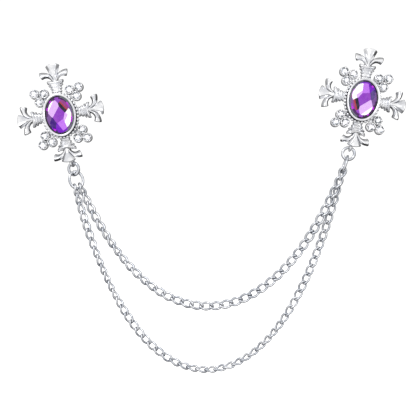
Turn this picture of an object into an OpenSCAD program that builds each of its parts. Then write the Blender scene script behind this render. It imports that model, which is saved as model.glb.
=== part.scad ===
// Lapel chain: two jewelled brooches joined by two curb chains of different length.
// +X runs from the left brooch to the right one, +Z is up, and the front faces -Y.
// The origin is the middle of the left brooch's pin stem, where it goes through the cloth.

/* [Pair] */
// Distance between the middles of the two brooches, sideways
brooch_span = 124; // [112:1:136]
// Height of the right brooch above the left one
brooch_rise = 6.3; // [0:0.1:12]
// Lean of each brooch away from the middle, in degrees
brooch_lean = 10; // [0:1:20]

/* [Oval stone] */
// Width of the oval stone
stone_w = 12; // [10:0.5:14]
// Height of the oval stone
stone_h = 16; // [14:0.5:18]
// Height of the cut crown above the girdle
crown_h = 1.5; // [1:0.1:2]
// Thickness of the girdle
girdle_t = 0.4; // [0.3:0.05:0.6]
// Depth of the pavilion below the girdle
pavilion_h = 2.7; // [2.2:0.1:3.2]

/* [Bezel] */
// Thickness of the metal floor under the stone
floor_t = 1; // [0.8:0.1:1.5]
// Thickness of the bezel wall
wall_t = 0.45; // [0.35:0.05:0.6]
// How far the bezel lip covers the stone's edge
lip_cover = 0.28; // [0.2:0.02:0.4]
// How far the bead flange stands out past the wall
flange_out = 0.5; // [0.3:0.05:0.8]
// Thickness of the bead flange
flange_t = 1.4; // [1:0.1:2]
// Diameter of a border bead
bead_d = 1.2; // [1:0.05:1.3]
// Number of border beads
bead_count = 36; // [30:1:36]

/* [Arms] */
// Height of the four arms' crossing above the middle of the stone
arms_up = 0.6; // [0:0.1:1.5]
// Length of a side arm's neck, from the bead flange to its collar
neck_len = 4; // [3.6:0.1:5]
// Width of a neck at the bead flange
neck_w = 4; // [3.5:0.1:5]
// Thickness of a neck
neck_t = 1.5; // [1.2:0.1:2]
// Width of a side arm's collar, across the arm
collar_w = 6.8; // [5.5:0.1:7.5]
// Diameter of a collar's ridge
collar_d = 1.5; // [1.2:0.05:1.8]
// Length of a side arm's middle petal
petal_len = 5.6; // [4.5:0.1:6.5]
// Greatest width of a middle petal
petal_w = 6; // [4.5:0.1:6.5]
// Width of a side petal at its tip
side_petal_w = 3.2; // [2:0.1:3.6]
// Thickness of a petal
petal_t = 1.3; // [1:0.1:1.8]
// Depth of the hollow in a petal's face
petal_dish = 0.5; // [0.3:0.05:0.7]

/* [Clusters] */
// Diameter of a small round stone
chip_d = 2.8; // [2.4:0.1:3]
// Thickness of a collet's wall
collet_wall = 0.4; // [0.3:0.05:0.5]
// Height of a collet above the back
collet_h = 2.6; // [2.2:0.1:3.2]
// Thickness of the plate that carries three collets
cluster_t = 0.9; // [0.7:0.05:0.95]
// Distance from a cluster's middle to each of its stones
cluster_r = 2.25; // [2.2:0.05:2.6]
// Distance from the bead flange to a cluster's middle
cluster_out = 3.65; // [3.4:0.05:4.5]
// Width of the stem that carries a cluster
stem_w = 2.2; // [1.6:0.1:2.6]

/* [Rings] */
// Distance from the stone's middle down to the hanging eye
eye_drop = 19.6; // [19.4:0.1:21]
// Distance of the eye from the brooch's upright axis, towards the other brooch
eye_in = 0.9; // [0:0.1:1.5]
// Diameter of the eye's hole
eye_hole_d = 1.9; // [1.8:0.05:2.2]
// Thickness of the eye's wire
eye_d = 0.9; // [0.8:0.05:1.1]
// Outer diameter of the round ring
ring_od = 6.2; // [5.8:0.1:7]
// Thickness of the round ring's wire
ring_d = 1.25; // [1:0.05:1.35]
// Outer length of the oval joining link
joiner_len = 8.2; // [7.8:0.1:9]
// Outer width of the oval joining link
joiner_w = 7.1; // [6.8:0.1:8]
// Thickness of the joining link's wire
joiner_d = 1.1; // [0.9:0.05:1.2]

/* [Chains] */
// Number of links in the upper chain
upper_links = 39; // [37:1:42]
// Distance from link to link in the upper chain
upper_pitch = 4.15; // [4:0.05:4.4]
// Outer width of a link of the upper chain
upper_link_w = 3.7; // [3.4:0.05:4]
// Thickness of the upper chain's wire
upper_wire_d = 0.8; // [0.7:0.02:0.84]
// Number of links in the lower chain
lower_links = 54; // [52:1:57]
// Distance from link to link in the lower chain
lower_pitch = 3.83; // [3.7:0.05:4]
// Outer width of a link of the lower chain
lower_link_w = 3.37; // [3.2:0.05:3.6]
// Thickness of the lower chain's wire
lower_wire_d = 0.72; // [0.6:0.02:0.76]

/* [Pins] */
// Length of the pin's bar
pin_bar_len = 20; // [16:1:22]
// Width of the pin's bar
pin_bar_w = 3; // [2:0.1:3.5]
// Thickness of the pin's bar
pin_bar_t = 0.8; // [0.6:0.1:1.2]
// Distance from the bar to the middle of the stem
stem_gap = 2.3; // [2:0.1:3]
// Diameter of the pin's stem
stem_d = 0.9; // [0.7:0.05:1.1]

/* [Hidden] */
$fn = 32;
silver = [0.86, 0.87, 0.89];
dark_silver = [0.68, 0.70, 0.73];
violet = [0.48, 0.14, 0.82];
clear_glass = [0.93, 0.95, 1.0];

// Clearances between pieces
stone_gap = 0.15;
seat_gap = 0.1;
ring_gap = 0.16;
link_slack = 0.3;
end_slack = 0.65;
solder_gap = 0.1;

// Small lengths of the bezel: room between girdle and lip, thickness of the lip, its
// rounding, the fillet at the wall's foot, and how deep the beads sink into the wall
lip_room = 0.42;
lip_t = 0.3;
lip_round = 0.15;
foot_fillet = 0.3;
bead_sink = 0.15;

// Small lengths of the arms: gap from a collar to its petals, how far a neck starts inside
// the flange, the lift of a neck's back and of a petal's, and a neck's pierced holes
collar_gap = 1.2;
neck_root = 1.2;
neck_lift = 0.15;
petal_back = 0.5;
neck_hole_d = 0.8;

// Small lengths of the clusters: lift of a plate's back, rim of a collet's foot, depth of
// a collet's seat, and how far a stem starts inside the flange
plate_lift = 0.1;
collet_foot = 0.15;
collet_depth = 1.2;
stem_root = 1.2;

// Small lengths of the hanging eye: how far it stands behind the back, how deep its stem
// goes into the petal, the stem's length, and its overlap with the eye
eye_back = 0.75;
eye_stem_in = 0.8;
eye_stem_len = 1.7;
eye_weld = 0.1;

// Small lengths of the pin: distance of its ears from the bar's ends, their diameter and
// width, their posts' width and height, and how deep the posts sink into the bar
ear_in = 1.2;
ear_d = 2.6;
ear_w = 1.8;
ear_post_w = 1.4;
ear_post_h = 2;
ear_sink = 0.3;

// Sides of the ovals and of the wires that are swept
bezel_sides = 36;
link_sides = 12;
link_wire_sides = 5;
joiner_sides = 16;
joiner_wire_sides = 6;

// Depths behind the viewer's side, measured forward from the back plane
girdle_at = floor_t + stone_gap + pavilion_h;
lip_under = girdle_at + girdle_t + lip_room;
lip_top = lip_under + lip_t;
flange_r = wall_t + stone_gap + flange_out;

// Half sizes of the bead flange, where the arms and clusters begin
flange_x = stone_w / 2 + flange_r;
flange_z = stone_h / 2 + flange_r;

function sinh(v) = (exp(v) - exp(-v)) / 2;
function cosh(v) = (exp(v) + exp(-v)) / 2;
function asinh(v) = ln(v + sqrt(v * v + 1));
function unit(v) = v / norm(v);
function lean(p, a) = [p.x * cos(a) + p.z * sin(a), p.y, p.z * cos(a) - p.x * sin(a)];

// The oval through the girdle, moved out by "out", at turn "t" and height "h" above the back
function oval_pt(t, out, h) = [(stone_w / 2 + out) * cos(t), -h, (stone_h / 2 + out) * sin(t)];

// Two triangles between point "i" of the section that starts at "a" and of the next, at "b"
function quad(a, b, i, n) =
    let (j = (i + 1) % n) [[a + i, b + i, b + j], [a + i, b + j, a + j]];

// Faces of a skin over "rows" rings of "n" points, closed by a cap at each end
function tube_faces(rows, n) = [
    for (r = [0:rows - 2], i = [0:n - 1]) each quad(r * n, (r + 1) * n, i, n),
    [for (i = [0:n - 1]) i],
    [for (i = [n - 1:-1:0]) (rows - 1) * n + i]
];

// Faces of a closed ring of "rows" sections of "n" points, the first point numbered "at"
function ring_faces(rows, n, at = 0) = [
    for (r = [0:rows - 1], i = [0:n - 1]) each quad(at + r * n, at + ((r + 1) % rows) * n, i, n)
];

// Closed wire of round section along a loop of points
function wire_points(loop, d, n) = [
    for (k = [0:len(loop) - 1])
        let (before = loop[(k + len(loop) - 1) % len(loop)], after = loop[(k + 1) % len(loop)],
             along = unit(after - before), mid = centre_of(loop),
             side = unit(cross(along, loop[k] - mid)), up = cross(along, side))
            for (i = [0:n - 1])
                loop[k] + d / 2 * (cos(360 * i / n) * side + sin(360 * i / n) * up)
];
function centre_of(pts, i = 0, sum = [0, 0, 0]) =
    i == len(pts) ? sum / len(pts) : centre_of(pts, i + 1, sum + pts[i]);

// Bezel cup. Columns: distance out from the girdle oval, height above the back
BEZEL = [
    [flange_r, 0],
    [flange_r, flange_t],
    [stone_gap + wall_t + 0.4 * foot_fillet, flange_t + foot_fillet],
    [stone_gap + wall_t, lip_top - lip_t],
    [stone_gap + wall_t - lip_round, lip_top],
    [-lip_cover, lip_top - lip_round / 3],
    [-lip_cover, lip_under],
    [stone_gap, lip_under - lip_room / 2],
    [stone_gap, floor_t]
];

module bezel() {
    points = [for (row = BEZEL, k = [0:bezel_sides - 1]) oval_pt(360 * k / bezel_sides, row[0], row[1])];
    polyhedron(points, tube_faces(len(BEZEL), bezel_sides));
}

// Beads stand on the flange, evenly spaced round the oval
bead_out = stone_gap + wall_t + bead_d / 2 - bead_sink;
bead_even = 90 / PI * (stone_h - stone_w) / (stone_h + stone_w + 4 * bead_out);

module bead_border() {
    for (k = [0:bead_count - 1]) {
        t = 360 * k / bead_count;
        translate(oval_pt(t - bead_even * sin(2 * t), bead_out, flange_t + bead_d / 4))
            sphere(d = bead_d, $fn = 24);
    }
}

// Petal sections. Columns: share of the length, half width as a share of the widest,
// rise of the petal towards the front as a share of its thickness, share of the dish
MIDDLE_PETAL = [
    [0, 0.22, 0, 0], [0.25, 0.28, 0.1, 0.3], [0.5, 0.5, 0.25, 0.8],
    [0.75, 0.82, 0.45, 1], [0.92, 1, 0.65, 1], [1, 0.72, 0.7, 0.6]
];
SIDE_PETAL = [
    [0, 0.36, 0, 0], [0.25, 0.38, 0.15, 0.2], [0.5, 0.52, 0.35, 0.6],
    [0.75, 0.82, 0.55, 1], [0.92, 1, 0.7, 1], [1, 0.72, 0.75, 0.6]
];
// Bend of a side petal: how far out and how far aside its start, guide point and tip lie,
// as shares of its length
SIDE_BEND = [[0.03, 0.08], [0.64, 0.34], [0.47, 0.94]];

function bend_pt(b, u) = (1 - u) * (1 - u) * b[0] + 2 * u * (1 - u) * b[1] + u * u * b[2];
function bend_dir(b, u) = unit((1 - u) * (b[1] - b[0]) + u * (b[2] - b[1]));

// One section of a petal: six corners, with sloping flanks and a hollow front face
function petal_section(at, dir, half, rise, dish) =
    let (side = [dir.y, -dir.x], back = petal_back + rise, front = back + petal_t, bowl = front - dish)
        [for (c = [[-1, back], [1, back], [0.78, front], [0.34, bowl], [-0.34, bowl], [-0.78, front]])
            [at.y + side.y * c[0] * half, -c[1], at.x + side.x * c[0] * half]];

module petal(table, bend, long, wide) {
    points = [for (row = table) each petal_section(
        long * bend_pt(bend, row[0]), bend_dir(bend, row[0]), wide / 2 * row[1],
        petal_t * row[2], petal_dish * row[3])];
    polyhedron(points, tube_faces(len(table), 6));
}

// Ridge across an arm, bowed towards the stone
ridge_bow = 9;

module ridge(wide, d) {
    half = asin(wide / 2 / ridge_bow);
    translate([0, 0, ridge_bow])
        rotate([90, 0, 0])
            rotate([0, 0, -90 - half])
                rotate_extrude(angle = 2 * half, $fn = 120)
                    translate([ridge_bow, 0]) circle(d = d, $fn = 24);
}

// Ridges of a neck. Columns: distance back from the collar, and width and diameter as
// shares of the collar's
RIDGES = [[0, 1, 1], [1.3, 0.85, 0.85], [2.45, 0.7, 0.7]];

// Neck of an arm: a flared plate with a rounded middle, crossed by ridges and pierced
module neck(long, wide) {
    difference() {
        union() {
            translate([0, -neck_lift, 0])
                rotate([90, 0, 0])
                    linear_extrude(neck_t)
                        polygon([[-neck_w / 2, -neck_root], [neck_w / 2, -neck_root],
                                 [wide * 0.4, long], [-wide * 0.4, long]]);
            translate([0, petal_back - neck_t, -neck_root / 2])
                cylinder(d1 = neck_w * 0.45, d2 = wide * 0.28, h = long + neck_root / 2);
            for (r = RIDGES)
                translate([0, -neck_t, long - r[0]]) ridge(wide * r[1], collar_d * r[2]);
        }
        for (side = [-1, 1])
            translate([side * wide * 0.22, neck_t, long - (RIDGES[1][0] + RIDGES[2][0]) / 2])
                rotate([90, 0, 0])
                    cylinder(d = neck_hole_d, h = neck_t * 4, $fn = 6);
    }
}

// An arm of the cross, with its three petals
module arm(neck_long, wide, petal_long) {
    neck(neck_long, wide);
    translate([0, -petal_back - petal_t / 2, neck_long - collar_gap / 4])
        cylinder(d1 = collar_d * 1.3, d2 = collar_d * 0.9, h = collar_gap * 2, $fn = 20);
    translate([0, 0, neck_long + collar_gap]) {
        petal(MIDDLE_PETAL, [[0, 0], [0.5, 0], [1, 0]], petal_long, petal_w);
        for (side = [0, 1])
            mirror([side, 0, 0]) petal(SIDE_PETAL, SIDE_BEND, petal_len, side_petal_w);
    }
}

// Arms. Columns: turn about the front-to-back axis, start at the bead flange, and its neck,
// collar and middle petal as shares of a side arm's
ARMS = [
    [0, flange_z - arms_up, 1.19, 1.04, 1.19], [90, flange_x, 1, 1, 1],
    [180, flange_z + arms_up, 0.96, 1.16, 0.9], [270, flange_x, 1, 1, 1]
];

// Clusters of three collets. Columns: side, up or down
CLUSTERS = [[-1, 1], [1, 1], [-1, -1], [1, -1]];
cluster_turn = 38;
cluster_root = 50;
cluster_mid = oval_pt(cluster_root, flange_r, 0)
    + cluster_out * [cos(cluster_turn), 0, sin(cluster_turn)];
collet_d = chip_d + 2 * (seat_gap + collet_wall);
chip_floor = collet_h - collet_depth;

function chip_at(k) = cluster_mid
    + cluster_r * [cos(cluster_turn + 120 * k), 0, sin(cluster_turn + 120 * k)];

module cluster() {
    difference() {
        union() {
            for (k = [0:2])
                translate(chip_at(k) - [0, plate_lift, 0])
                    rotate([90, 0, 0]) {
                        cylinder(d = collet_d + 2 * collet_foot, h = cluster_t);
                        cylinder(d = collet_d, h = collet_h - plate_lift);
                    }
            translate(oval_pt(cluster_root, flange_r - stem_root, 2 * plate_lift))
                rotate([0, -cluster_turn, 0])
                    translate([0, 2 * plate_lift - cluster_t, -stem_w / 2])
                        cube([cluster_out + stem_root, cluster_t - 2 * plate_lift, stem_w]);
        }
        for (k = [0:2])
            translate(chip_at(k) - [0, chip_floor, 0])
                rotate([90, 0, 0])
                    cylinder(d = chip_d + 2 * seat_gap, h = collet_h);
    }
}

// Cast eye behind the bottom petal. It is turned to the ring that hangs in it
eye_r = (eye_hole_d + eye_d) / 2;

module hanging_eye(side, pull, turn) {
    translate([side * eye_in, eye_back, -eye_drop]) {
        rotate([0, -pull, 0])
            rotate([0, 0, turn])
                rotate([0, 90, 0])
                    rotate_extrude($fn = 40)
                        translate([eye_r, 0]) circle(d = eye_d, $fn = 24);
        translate([-eye_d / 2, -eye_back - petal_back - eye_stem_in, eye_r - eye_weld])
            cube([eye_d, eye_back + petal_back + eye_stem_in + eye_weld, eye_stem_len]);
    }
}

// One brooch's casting, its middle at the origin of its own frame
module casting(side, pull, turn) {
    bezel();
    bead_border();
    translate([0, 0, arms_up])
        for (a = ARMS)
            rotate([0, a[0], 0])
                translate([0, 0, a[1]]) arm(neck_len * a[2], collar_w * a[3], petal_len * a[4]);
    for (c = CLUSTERS)
        scale([c[0], 1, c[1]]) cluster();
    hanging_eye(side, pull, turn);
}

// Oval stone with staggered crown facets. Columns: share of the girdle's half size,
// height above the back, half a facet's stagger
STONE = [
    [0.3, girdle_at - pavilion_h, 0], [0.72, girdle_at - pavilion_h * 0.55, 1], [1, girdle_at, 0],
    [1, girdle_at + girdle_t, 0], [0.84, girdle_at + girdle_t + crown_h * 0.55, 1],
    [0.55, girdle_at + girdle_t + crown_h * 0.9, 0], [0.28, girdle_at + girdle_t + crown_h, 1]
];
stone_sides = 12;

module oval_stone() {
    points = [for (row = STONE, k = [0:stone_sides - 1])
        let (t = 360 * (k + row[2] / 2) / stone_sides)
            [stone_w / 2 * row[0] * cos(t), -row[1], stone_h / 2 * row[0] * sin(t)]];
    rows = len(STONE);
    n = stone_sides;
    faces = [
        for (r = [0:rows - 2], i = [0:n - 1])
            let (a = r * n + i, b = (r + 1) * n + i,
                 a2 = r * n + (i + 1) % n, b2 = (r + 1) * n + (i + 1) % n)
                each (STONE[r + 1][2] >= STONE[r][2]
                    ? [[a, b, a2], [b, b2, a2]]
                    : [[a, b, b2], [a, b2, a2]]),
        [for (i = [0:n - 1]) i],
        [for (i = [n - 1:-1:0]) (rows - 1) * n + i]
    ];
    color(violet) polyhedron(points, faces);
}

// Small round stone: point, girdle and table
chip_sides = 8;
chip_crown = 0.55;
chip_pavilion = 0.85;

module chip() {
    n = chip_sides;
    girdle = [for (k = [0:n - 1]) [chip_d / 2 * cos(360 * k / n), 0, chip_d / 2 * sin(360 * k / n)]];
    table = [for (k = [0:n - 1])
        let (t = 360 * (k + 0.5) / n) [chip_d * 0.29 * cos(t), -chip_crown, chip_d * 0.29 * sin(t)]];
    faces = [
        for (i = [0:n - 1]) [i, n + i, (i + 1) % n],
        for (i = [0:n - 1]) [(i + 1) % n, n + i, n + (i + 1) % n],
        for (i = [0:n - 1]) [2 * n, i, (i + 1) % n],
        [for (i = [n - 1:-1:0]) n + i]
    ];
    color(clear_glass) polyhedron(concat(girdle, table, [[0, chip_pavilion, 0]]), faces);
}

// Bar pin: bar, hinge ears, catch and stem in one piece, behind the casting
stem_end = pin_bar_len / 2 - ear_in;

module bar_pin() {
    color(dark_silver)
        translate([0, solder_gap, arms_up]) {
            translate([-pin_bar_len / 2, 0, -pin_bar_w / 2]) cube([pin_bar_len, pin_bar_t, pin_bar_w]);
            translate([0, pin_bar_t + stem_gap, 0]) {
                rotate([0, 90, 0]) cylinder(d = stem_d, h = 2 * stem_end, center = true, $fn = 24);
                for (side = [-1, 1])
                    translate([side * stem_end, 0, 0])
                        rotate([0, 90, 0]) cylinder(d = ear_d, h = ear_w, center = true);
            }
            for (side = [-1, 1])
                translate([side * stem_end - ear_post_w / 2, pin_bar_t - ear_sink, -ear_post_h / 2])
                    cube([ear_post_w, stem_gap, ear_post_h]);
        }
}

// Where each brooch stands: its middle, lean, side of the eye, pull and turns of its rings
pin_stem_y = solder_gap + pin_bar_t + stem_gap;
left_mid = -lean([0, pin_stem_y, arms_up], -brooch_lean);
right_mid = left_mid + [brooch_span, 0, brooch_rise];

// Columns: middle, lean, side towards the other brooch, pull of the chains off the
// plumb line, turn of the ring, turn of the joining link
LEFT = [left_mid, -brooch_lean, 1, 13, -26, 34];
RIGHT = [right_mid, brooch_lean, -1, 18.5, 0, 88];

function pull_dir(b) = [b[2] * sin(b[3]), 0, -cos(b[3])];
function eye_pos(b) = b[0] + lean([b[2] * eye_in, eye_back, -eye_drop], b[1]);
ring_r = (ring_od - ring_d) / 2;
function ring_mid(b) = eye_pos(b) + (ring_r + (eye_hole_d - ring_d) / 2 - ring_gap) * pull_dir(b);
joiner_half = (joiner_len - joiner_d) / 2;
joiner_side = (joiner_w - joiner_d) / 2;
function joiner_mid(b) = ring_mid(b)
    + (ring_r - (ring_d + joiner_d) / 2 - ring_gap + joiner_half) * pull_dir(b);
function cross_dir(b, turn) = cos(turn) * cross(pull_dir(b), [0, 1, 0]) + sin(turn) * [0, 1, 0];

module place(b) {
    translate(b[0]) rotate([0, b[1], 0]) children();
}

module round_ring(b) {
    color(silver)
        translate(ring_mid(b))
            rotate([0, -b[2] * b[3], 0])
                rotate([0, 0, b[4]])
                    rotate([90, 0, 0])
                        rotate_extrude($fn = 48)
                            translate([ring_r, 0]) circle(d = ring_d, $fn = 24);
}

module joining_link(b) {
    side = cross_dir(b, b[5]);
    loop = [for (k = [0:joiner_sides - 1])
        let (t = 360 * k / joiner_sides)
            joiner_mid(b) - joiner_half * cos(t) * pull_dir(b) + joiner_side * sin(t) * side];
    color(silver)
        polyhedron(wire_points(loop, joiner_d, joiner_wire_sides),
                   ring_faces(joiner_sides, joiner_wire_sides));
}

// Chains. A strand's end lies on the joining link's lower end, "off" to one side of its middle
function strand_end(b, off) = joiner_mid(b)
    + joiner_half * sqrt(1 - pow(off / joiner_side, 2)) * pull_dir(b) + off * cross_dir(b, b[5]);

// Curve of a hanging strand between p and q with length s: [width factor, lowest x, base z, start]
function sag_root(r, b = 3, n = 0) =
    n == 40 ? b : sag_root(r, b - (sinh(b) / b - r) * b * b / (b * cosh(b) - sinh(b)), n + 1);
function sag_curve(p, q, s) =
    let (h = q.x - p.x, v = q.z - p.z, a = h / 2 / sag_root(sqrt(s * s - v * v) / h),
         x0 = (p.x + q.x) / 2 - a * ln((s + v) / (s - v)) / 2)
        [a, x0, p.z - a * cosh((p.x - x0) / a), a * sinh((x0 - p.x) / a)];
function sag_x(c, s) = c[1] + c[0] * asinh((s - c[3]) / c[0]);
function sag_z(c, s) = c[2] + c[0] * cosh((sag_x(c, s) - c[1]) / c[0]);
function sag_tilt(c, s) = atan((s - c[3]) / c[0]);

// Twist of each half of a curb link, so that its two ends stand across each other
link_twist = 50;

// Centre line of a curb link: x along the strand, y across it, z through its thickness
function link_loop(len, wide) = [
    for (k = [0:link_sides - 1])
        let (t = 360 * (k + 0.5) / link_sides, w = wide / 2 * sin(t), f = link_twist * cos(t))
            [len / 2 * cos(t), w * cos(f), w * sin(f)]
];

// Puts a link's point into the strand: up across the slope when the roll is 0
function link_pt(p, at, tilt, roll) =
    let (along = [cos(tilt), 0, sin(tilt)], up = [-sin(tilt), 0, cos(tilt)], fore = [0, -1, 0])
        at + p.x * along + p.y * (cos(roll) * up + sin(roll) * fore)
           + p.z * (cos(roll) * fore - sin(roll) * up);

// Roll that stands a strand's end link square across the joining link's wire
function end_roll(b, tilt, sign) =
    let (wire = cross_dir(b, b[5]), up = [-sin(tilt), 0, cos(tilt)],
         r = atan2(-wire * up, -wire.y) + sign * link_twist)
        r - 180 * round(r / 180);

module strand(links, pitch, link_w, wire_d, off, start_turn, rolls) {
    len = pitch + wire_d + link_slack;
    lead = len / 2 - (wire_d + joiner_d) / 2 - end_slack;
    p = strand_end(LEFT, off);
    q = strand_end(RIGHT, -off);
    total = 2 * lead + (links - 1) * pitch;
    c = sag_curve(p, q, total);
    table = concat([[0, end_roll(LEFT, sag_tilt(c, 0), 1) + start_turn]], rolls,
                   [[1, end_roll(RIGHT, sag_tilt(c, total), -1)]]);
    loop = link_loop(len, link_w - wire_d);
    points = [for (i = [0:links - 1])
        let (s = lead + i * pitch, tilt = sag_tilt(c, s), roll = lookup(s / total, table),
             at = [sag_x(c, s), p.y + (q.y - p.y) * s / total, sag_z(c, s)])
            each wire_points([for (pt = loop) link_pt(pt, at, tilt, roll)], wire_d, link_wire_sides)];
    faces = [for (i = [0:links - 1])
        each ring_faces(link_sides, link_wire_sides, i * link_sides * link_wire_sides)];
    color(silver) polyhedron(points, faces);
}

// Roll of the links along each strand, as it was hung. Columns: share of the length, degrees
UPPER_ROLL = [[0.14, -32], [0.3, -32], [0.46, 0], [0.84, 0]];
LOWER_ROLL = [[0.26, 0], [0.33, 0], [0.49, -60], [0.64, -60], [0.8, 0], [0.85, 0]];
upper_off = 1.3;
lower_off = -1.28;
// Turn of each strand's first link, so that it hangs clear of the joining link
upper_start = 0;
lower_start = -20;

module upper_chain() strand(upper_links, upper_pitch, upper_link_w, upper_wire_d, upper_off,
                            upper_start, UPPER_ROLL);
module lower_chain() strand(lower_links, lower_pitch, lower_link_w, lower_wire_d, lower_off,
                            lower_start, LOWER_ROLL);

module left_casting() {
    color(silver) place(LEFT) casting(LEFT[2], LEFT[3] - brooch_lean, LEFT[4]);
}
module right_casting() {
    color(silver) place(RIGHT) casting(RIGHT[2], brooch_lean - RIGHT[3], RIGHT[4]);
}
module left_stone() place(LEFT) oval_stone();
module right_stone() place(RIGHT) oval_stone();
module left_pin() place(LEFT) bar_pin();
module right_pin() place(RIGHT) bar_pin();
module left_ring() round_ring(LEFT);
module right_ring() round_ring(RIGHT);
module left_joiner() joining_link(LEFT);
module right_joiner() joining_link(RIGHT);

// The twelve small stones of a brooch: cluster c, place k in it
module chip_in(b, c, k) {
    place(b)
        translate([CLUSTERS[c][0] * chip_at(k).x, -chip_floor - seat_gap - chip_pavilion,
                   CLUSTERS[c][1] * chip_at(k).z])
            chip();
}
function chip_name(hand, n) = str(hand, "_chip_", n < 10 ? "0" : "", n);

left_casting();
right_casting();
left_stone();
right_stone();
left_pin();
right_pin();
left_ring();
right_ring();
left_joiner();
right_joiner();
upper_chain();
lower_chain();
for (n = [1:12]) {
    chip_in(LEFT, floor((n - 1) / 3), (n - 1) % 3);
    chip_in(RIGHT, floor((n - 1) / 3), (n - 1) % 3);
}
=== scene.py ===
"""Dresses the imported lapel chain: two jewelled brooches joined by two curb chains.

Every size below is in millimetres, in the part's own frame: +X runs from the left brooch to
the right one, +Z is up and the front faces -Y. Meshes are written in metres.
"""

from __future__ import annotations

import logging
import math
import random
from dataclasses import dataclass, field
from enum import Enum
from typing import Any, Callable, Iterable, Sequence

import bmesh
import bpy
from mathutils import Matrix, Vector


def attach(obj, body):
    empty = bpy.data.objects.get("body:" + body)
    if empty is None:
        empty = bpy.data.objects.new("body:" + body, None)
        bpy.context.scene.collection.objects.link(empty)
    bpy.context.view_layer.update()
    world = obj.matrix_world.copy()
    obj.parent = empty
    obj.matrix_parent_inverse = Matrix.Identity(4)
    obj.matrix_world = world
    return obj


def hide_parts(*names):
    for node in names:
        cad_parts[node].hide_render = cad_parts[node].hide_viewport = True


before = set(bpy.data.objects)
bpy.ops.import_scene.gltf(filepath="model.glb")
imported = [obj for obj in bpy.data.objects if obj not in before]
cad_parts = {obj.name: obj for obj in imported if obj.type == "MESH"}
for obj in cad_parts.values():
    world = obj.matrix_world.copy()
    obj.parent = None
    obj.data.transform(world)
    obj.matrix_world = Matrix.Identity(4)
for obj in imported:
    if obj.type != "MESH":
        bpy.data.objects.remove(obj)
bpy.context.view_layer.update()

log = logging.getLogger("lapel_chain")

MM = 0.001
BODY = "root"
# Attribute of the stones' faces: their own colour together with painted reflections, highlights and shade
TONE = "facet_colour_and_painted_light"
TURN = "link_turn"

Point = tuple[float, float, float]
Colour = tuple[float, float, float]


def smooth_step(low: float, high: float, value: float) -> float:
    """Runs smoothly from 0 at low to 1 at high."""
    t = min(max((value - low) / (high - low), 0.0), 1.0)
    return t * t * (3 - 2 * t)


def turns(count: int, shift: float = 0.0) -> list[float]:
    """Even turns round a circle in radians, moved on by a share of one step."""
    return [2 * math.pi * (k + shift) / count for k in range(count)]


def flat(turn: float, half_w: float = 1.0, half_h: float = 1.0) -> Vector:
    """Point of an oval in the brooch's plane, at a turn in radians."""
    return Vector((half_w * math.cos(turn), 0, half_h * math.sin(turn)))


def to_linear(colour: Colour) -> tuple[float, float, float, float]:
    """Turns a display colour of 0 to 1 into the linear colour that a shader takes."""
    low = [c / 12.92 if c <= 0.04045 else ((c + 0.055) / 1.055) ** 2.4 for c in colour]
    return (low[0], low[1], low[2], 1.0)


def add_object(name: str, data: bpy.types.ID) -> bpy.types.Object:
    """Adds an object with its data to the scene."""
    made = bpy.data.objects.new(name, data)
    bpy.context.scene.collection.objects.link(made)
    return made


# Node trees


class Value:
    """A number or vector inside a node tree, with the usual arithmetic."""

    def __init__(self, graph: "Graph", socket: bpy.types.NodeSocket) -> None:
        """Keeps the tree and the socket that the value comes out of."""
        self.graph = graph
        self.socket = socket

    def math(self, operation: str, *others: Any, swap: bool = False) -> "Value":
        """Adds a Math node.

        Args:
            operation: Name of the node's operation.
            others: The other numbers or values.
            swap: Whether this value comes second.

        Returns:
            The node's result.
        """
        terms = [*others, self] if swap else [self, *others]
        node = self.graph.node("ShaderNodeMath", dict(enumerate(terms)), operation=operation)
        return self.graph.value(node)

    def __add__(self, other: Any) -> "Value":
        """Adds."""
        return self.math("ADD", other)

    __radd__ = __add__

    def __sub__(self, other: Any) -> "Value":
        """Subtracts other."""
        return self.math("SUBTRACT", other)

    def __rsub__(self, other: Any) -> "Value":
        """Subtracts this from other."""
        return self.math("SUBTRACT", other, swap=True)

    def __mul__(self, other: Any) -> "Value":
        """Multiplies."""
        return self.math("MULTIPLY", other)

    __rmul__ = __mul__

    def __truediv__(self, other: Any) -> "Value":
        """Divides by other."""
        return self.math("DIVIDE", other)

    def __rtruediv__(self, other: Any) -> "Value":
        """Divides other by this."""
        return self.math("DIVIDE", other, swap=True)

    def __neg__(self) -> "Value":
        """Turns the sign."""
        return self.math("MULTIPLY", -1.0)

    def sin(self) -> "Value":
        """Sine of an angle in radians."""
        return self.math("SINE")

    def cos(self) -> "Value":
        """Cosine of an angle in radians."""
        return self.math("COSINE")

    def ramp(self, low: float, high: float, to_low: float = 0.0, to_high: float = 1.0) -> "Value":
        """Eases from to_low at low to to_high at high."""
        node = self.graph.node(
            "ShaderNodeMapRange",
            {"Value": self, "From Min": low, "From Max": high, "To Min": to_low, "To Max": to_high},
            interpolation_type="SMOOTHSTEP",
        )
        return self.graph.value(node, "Result")


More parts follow.
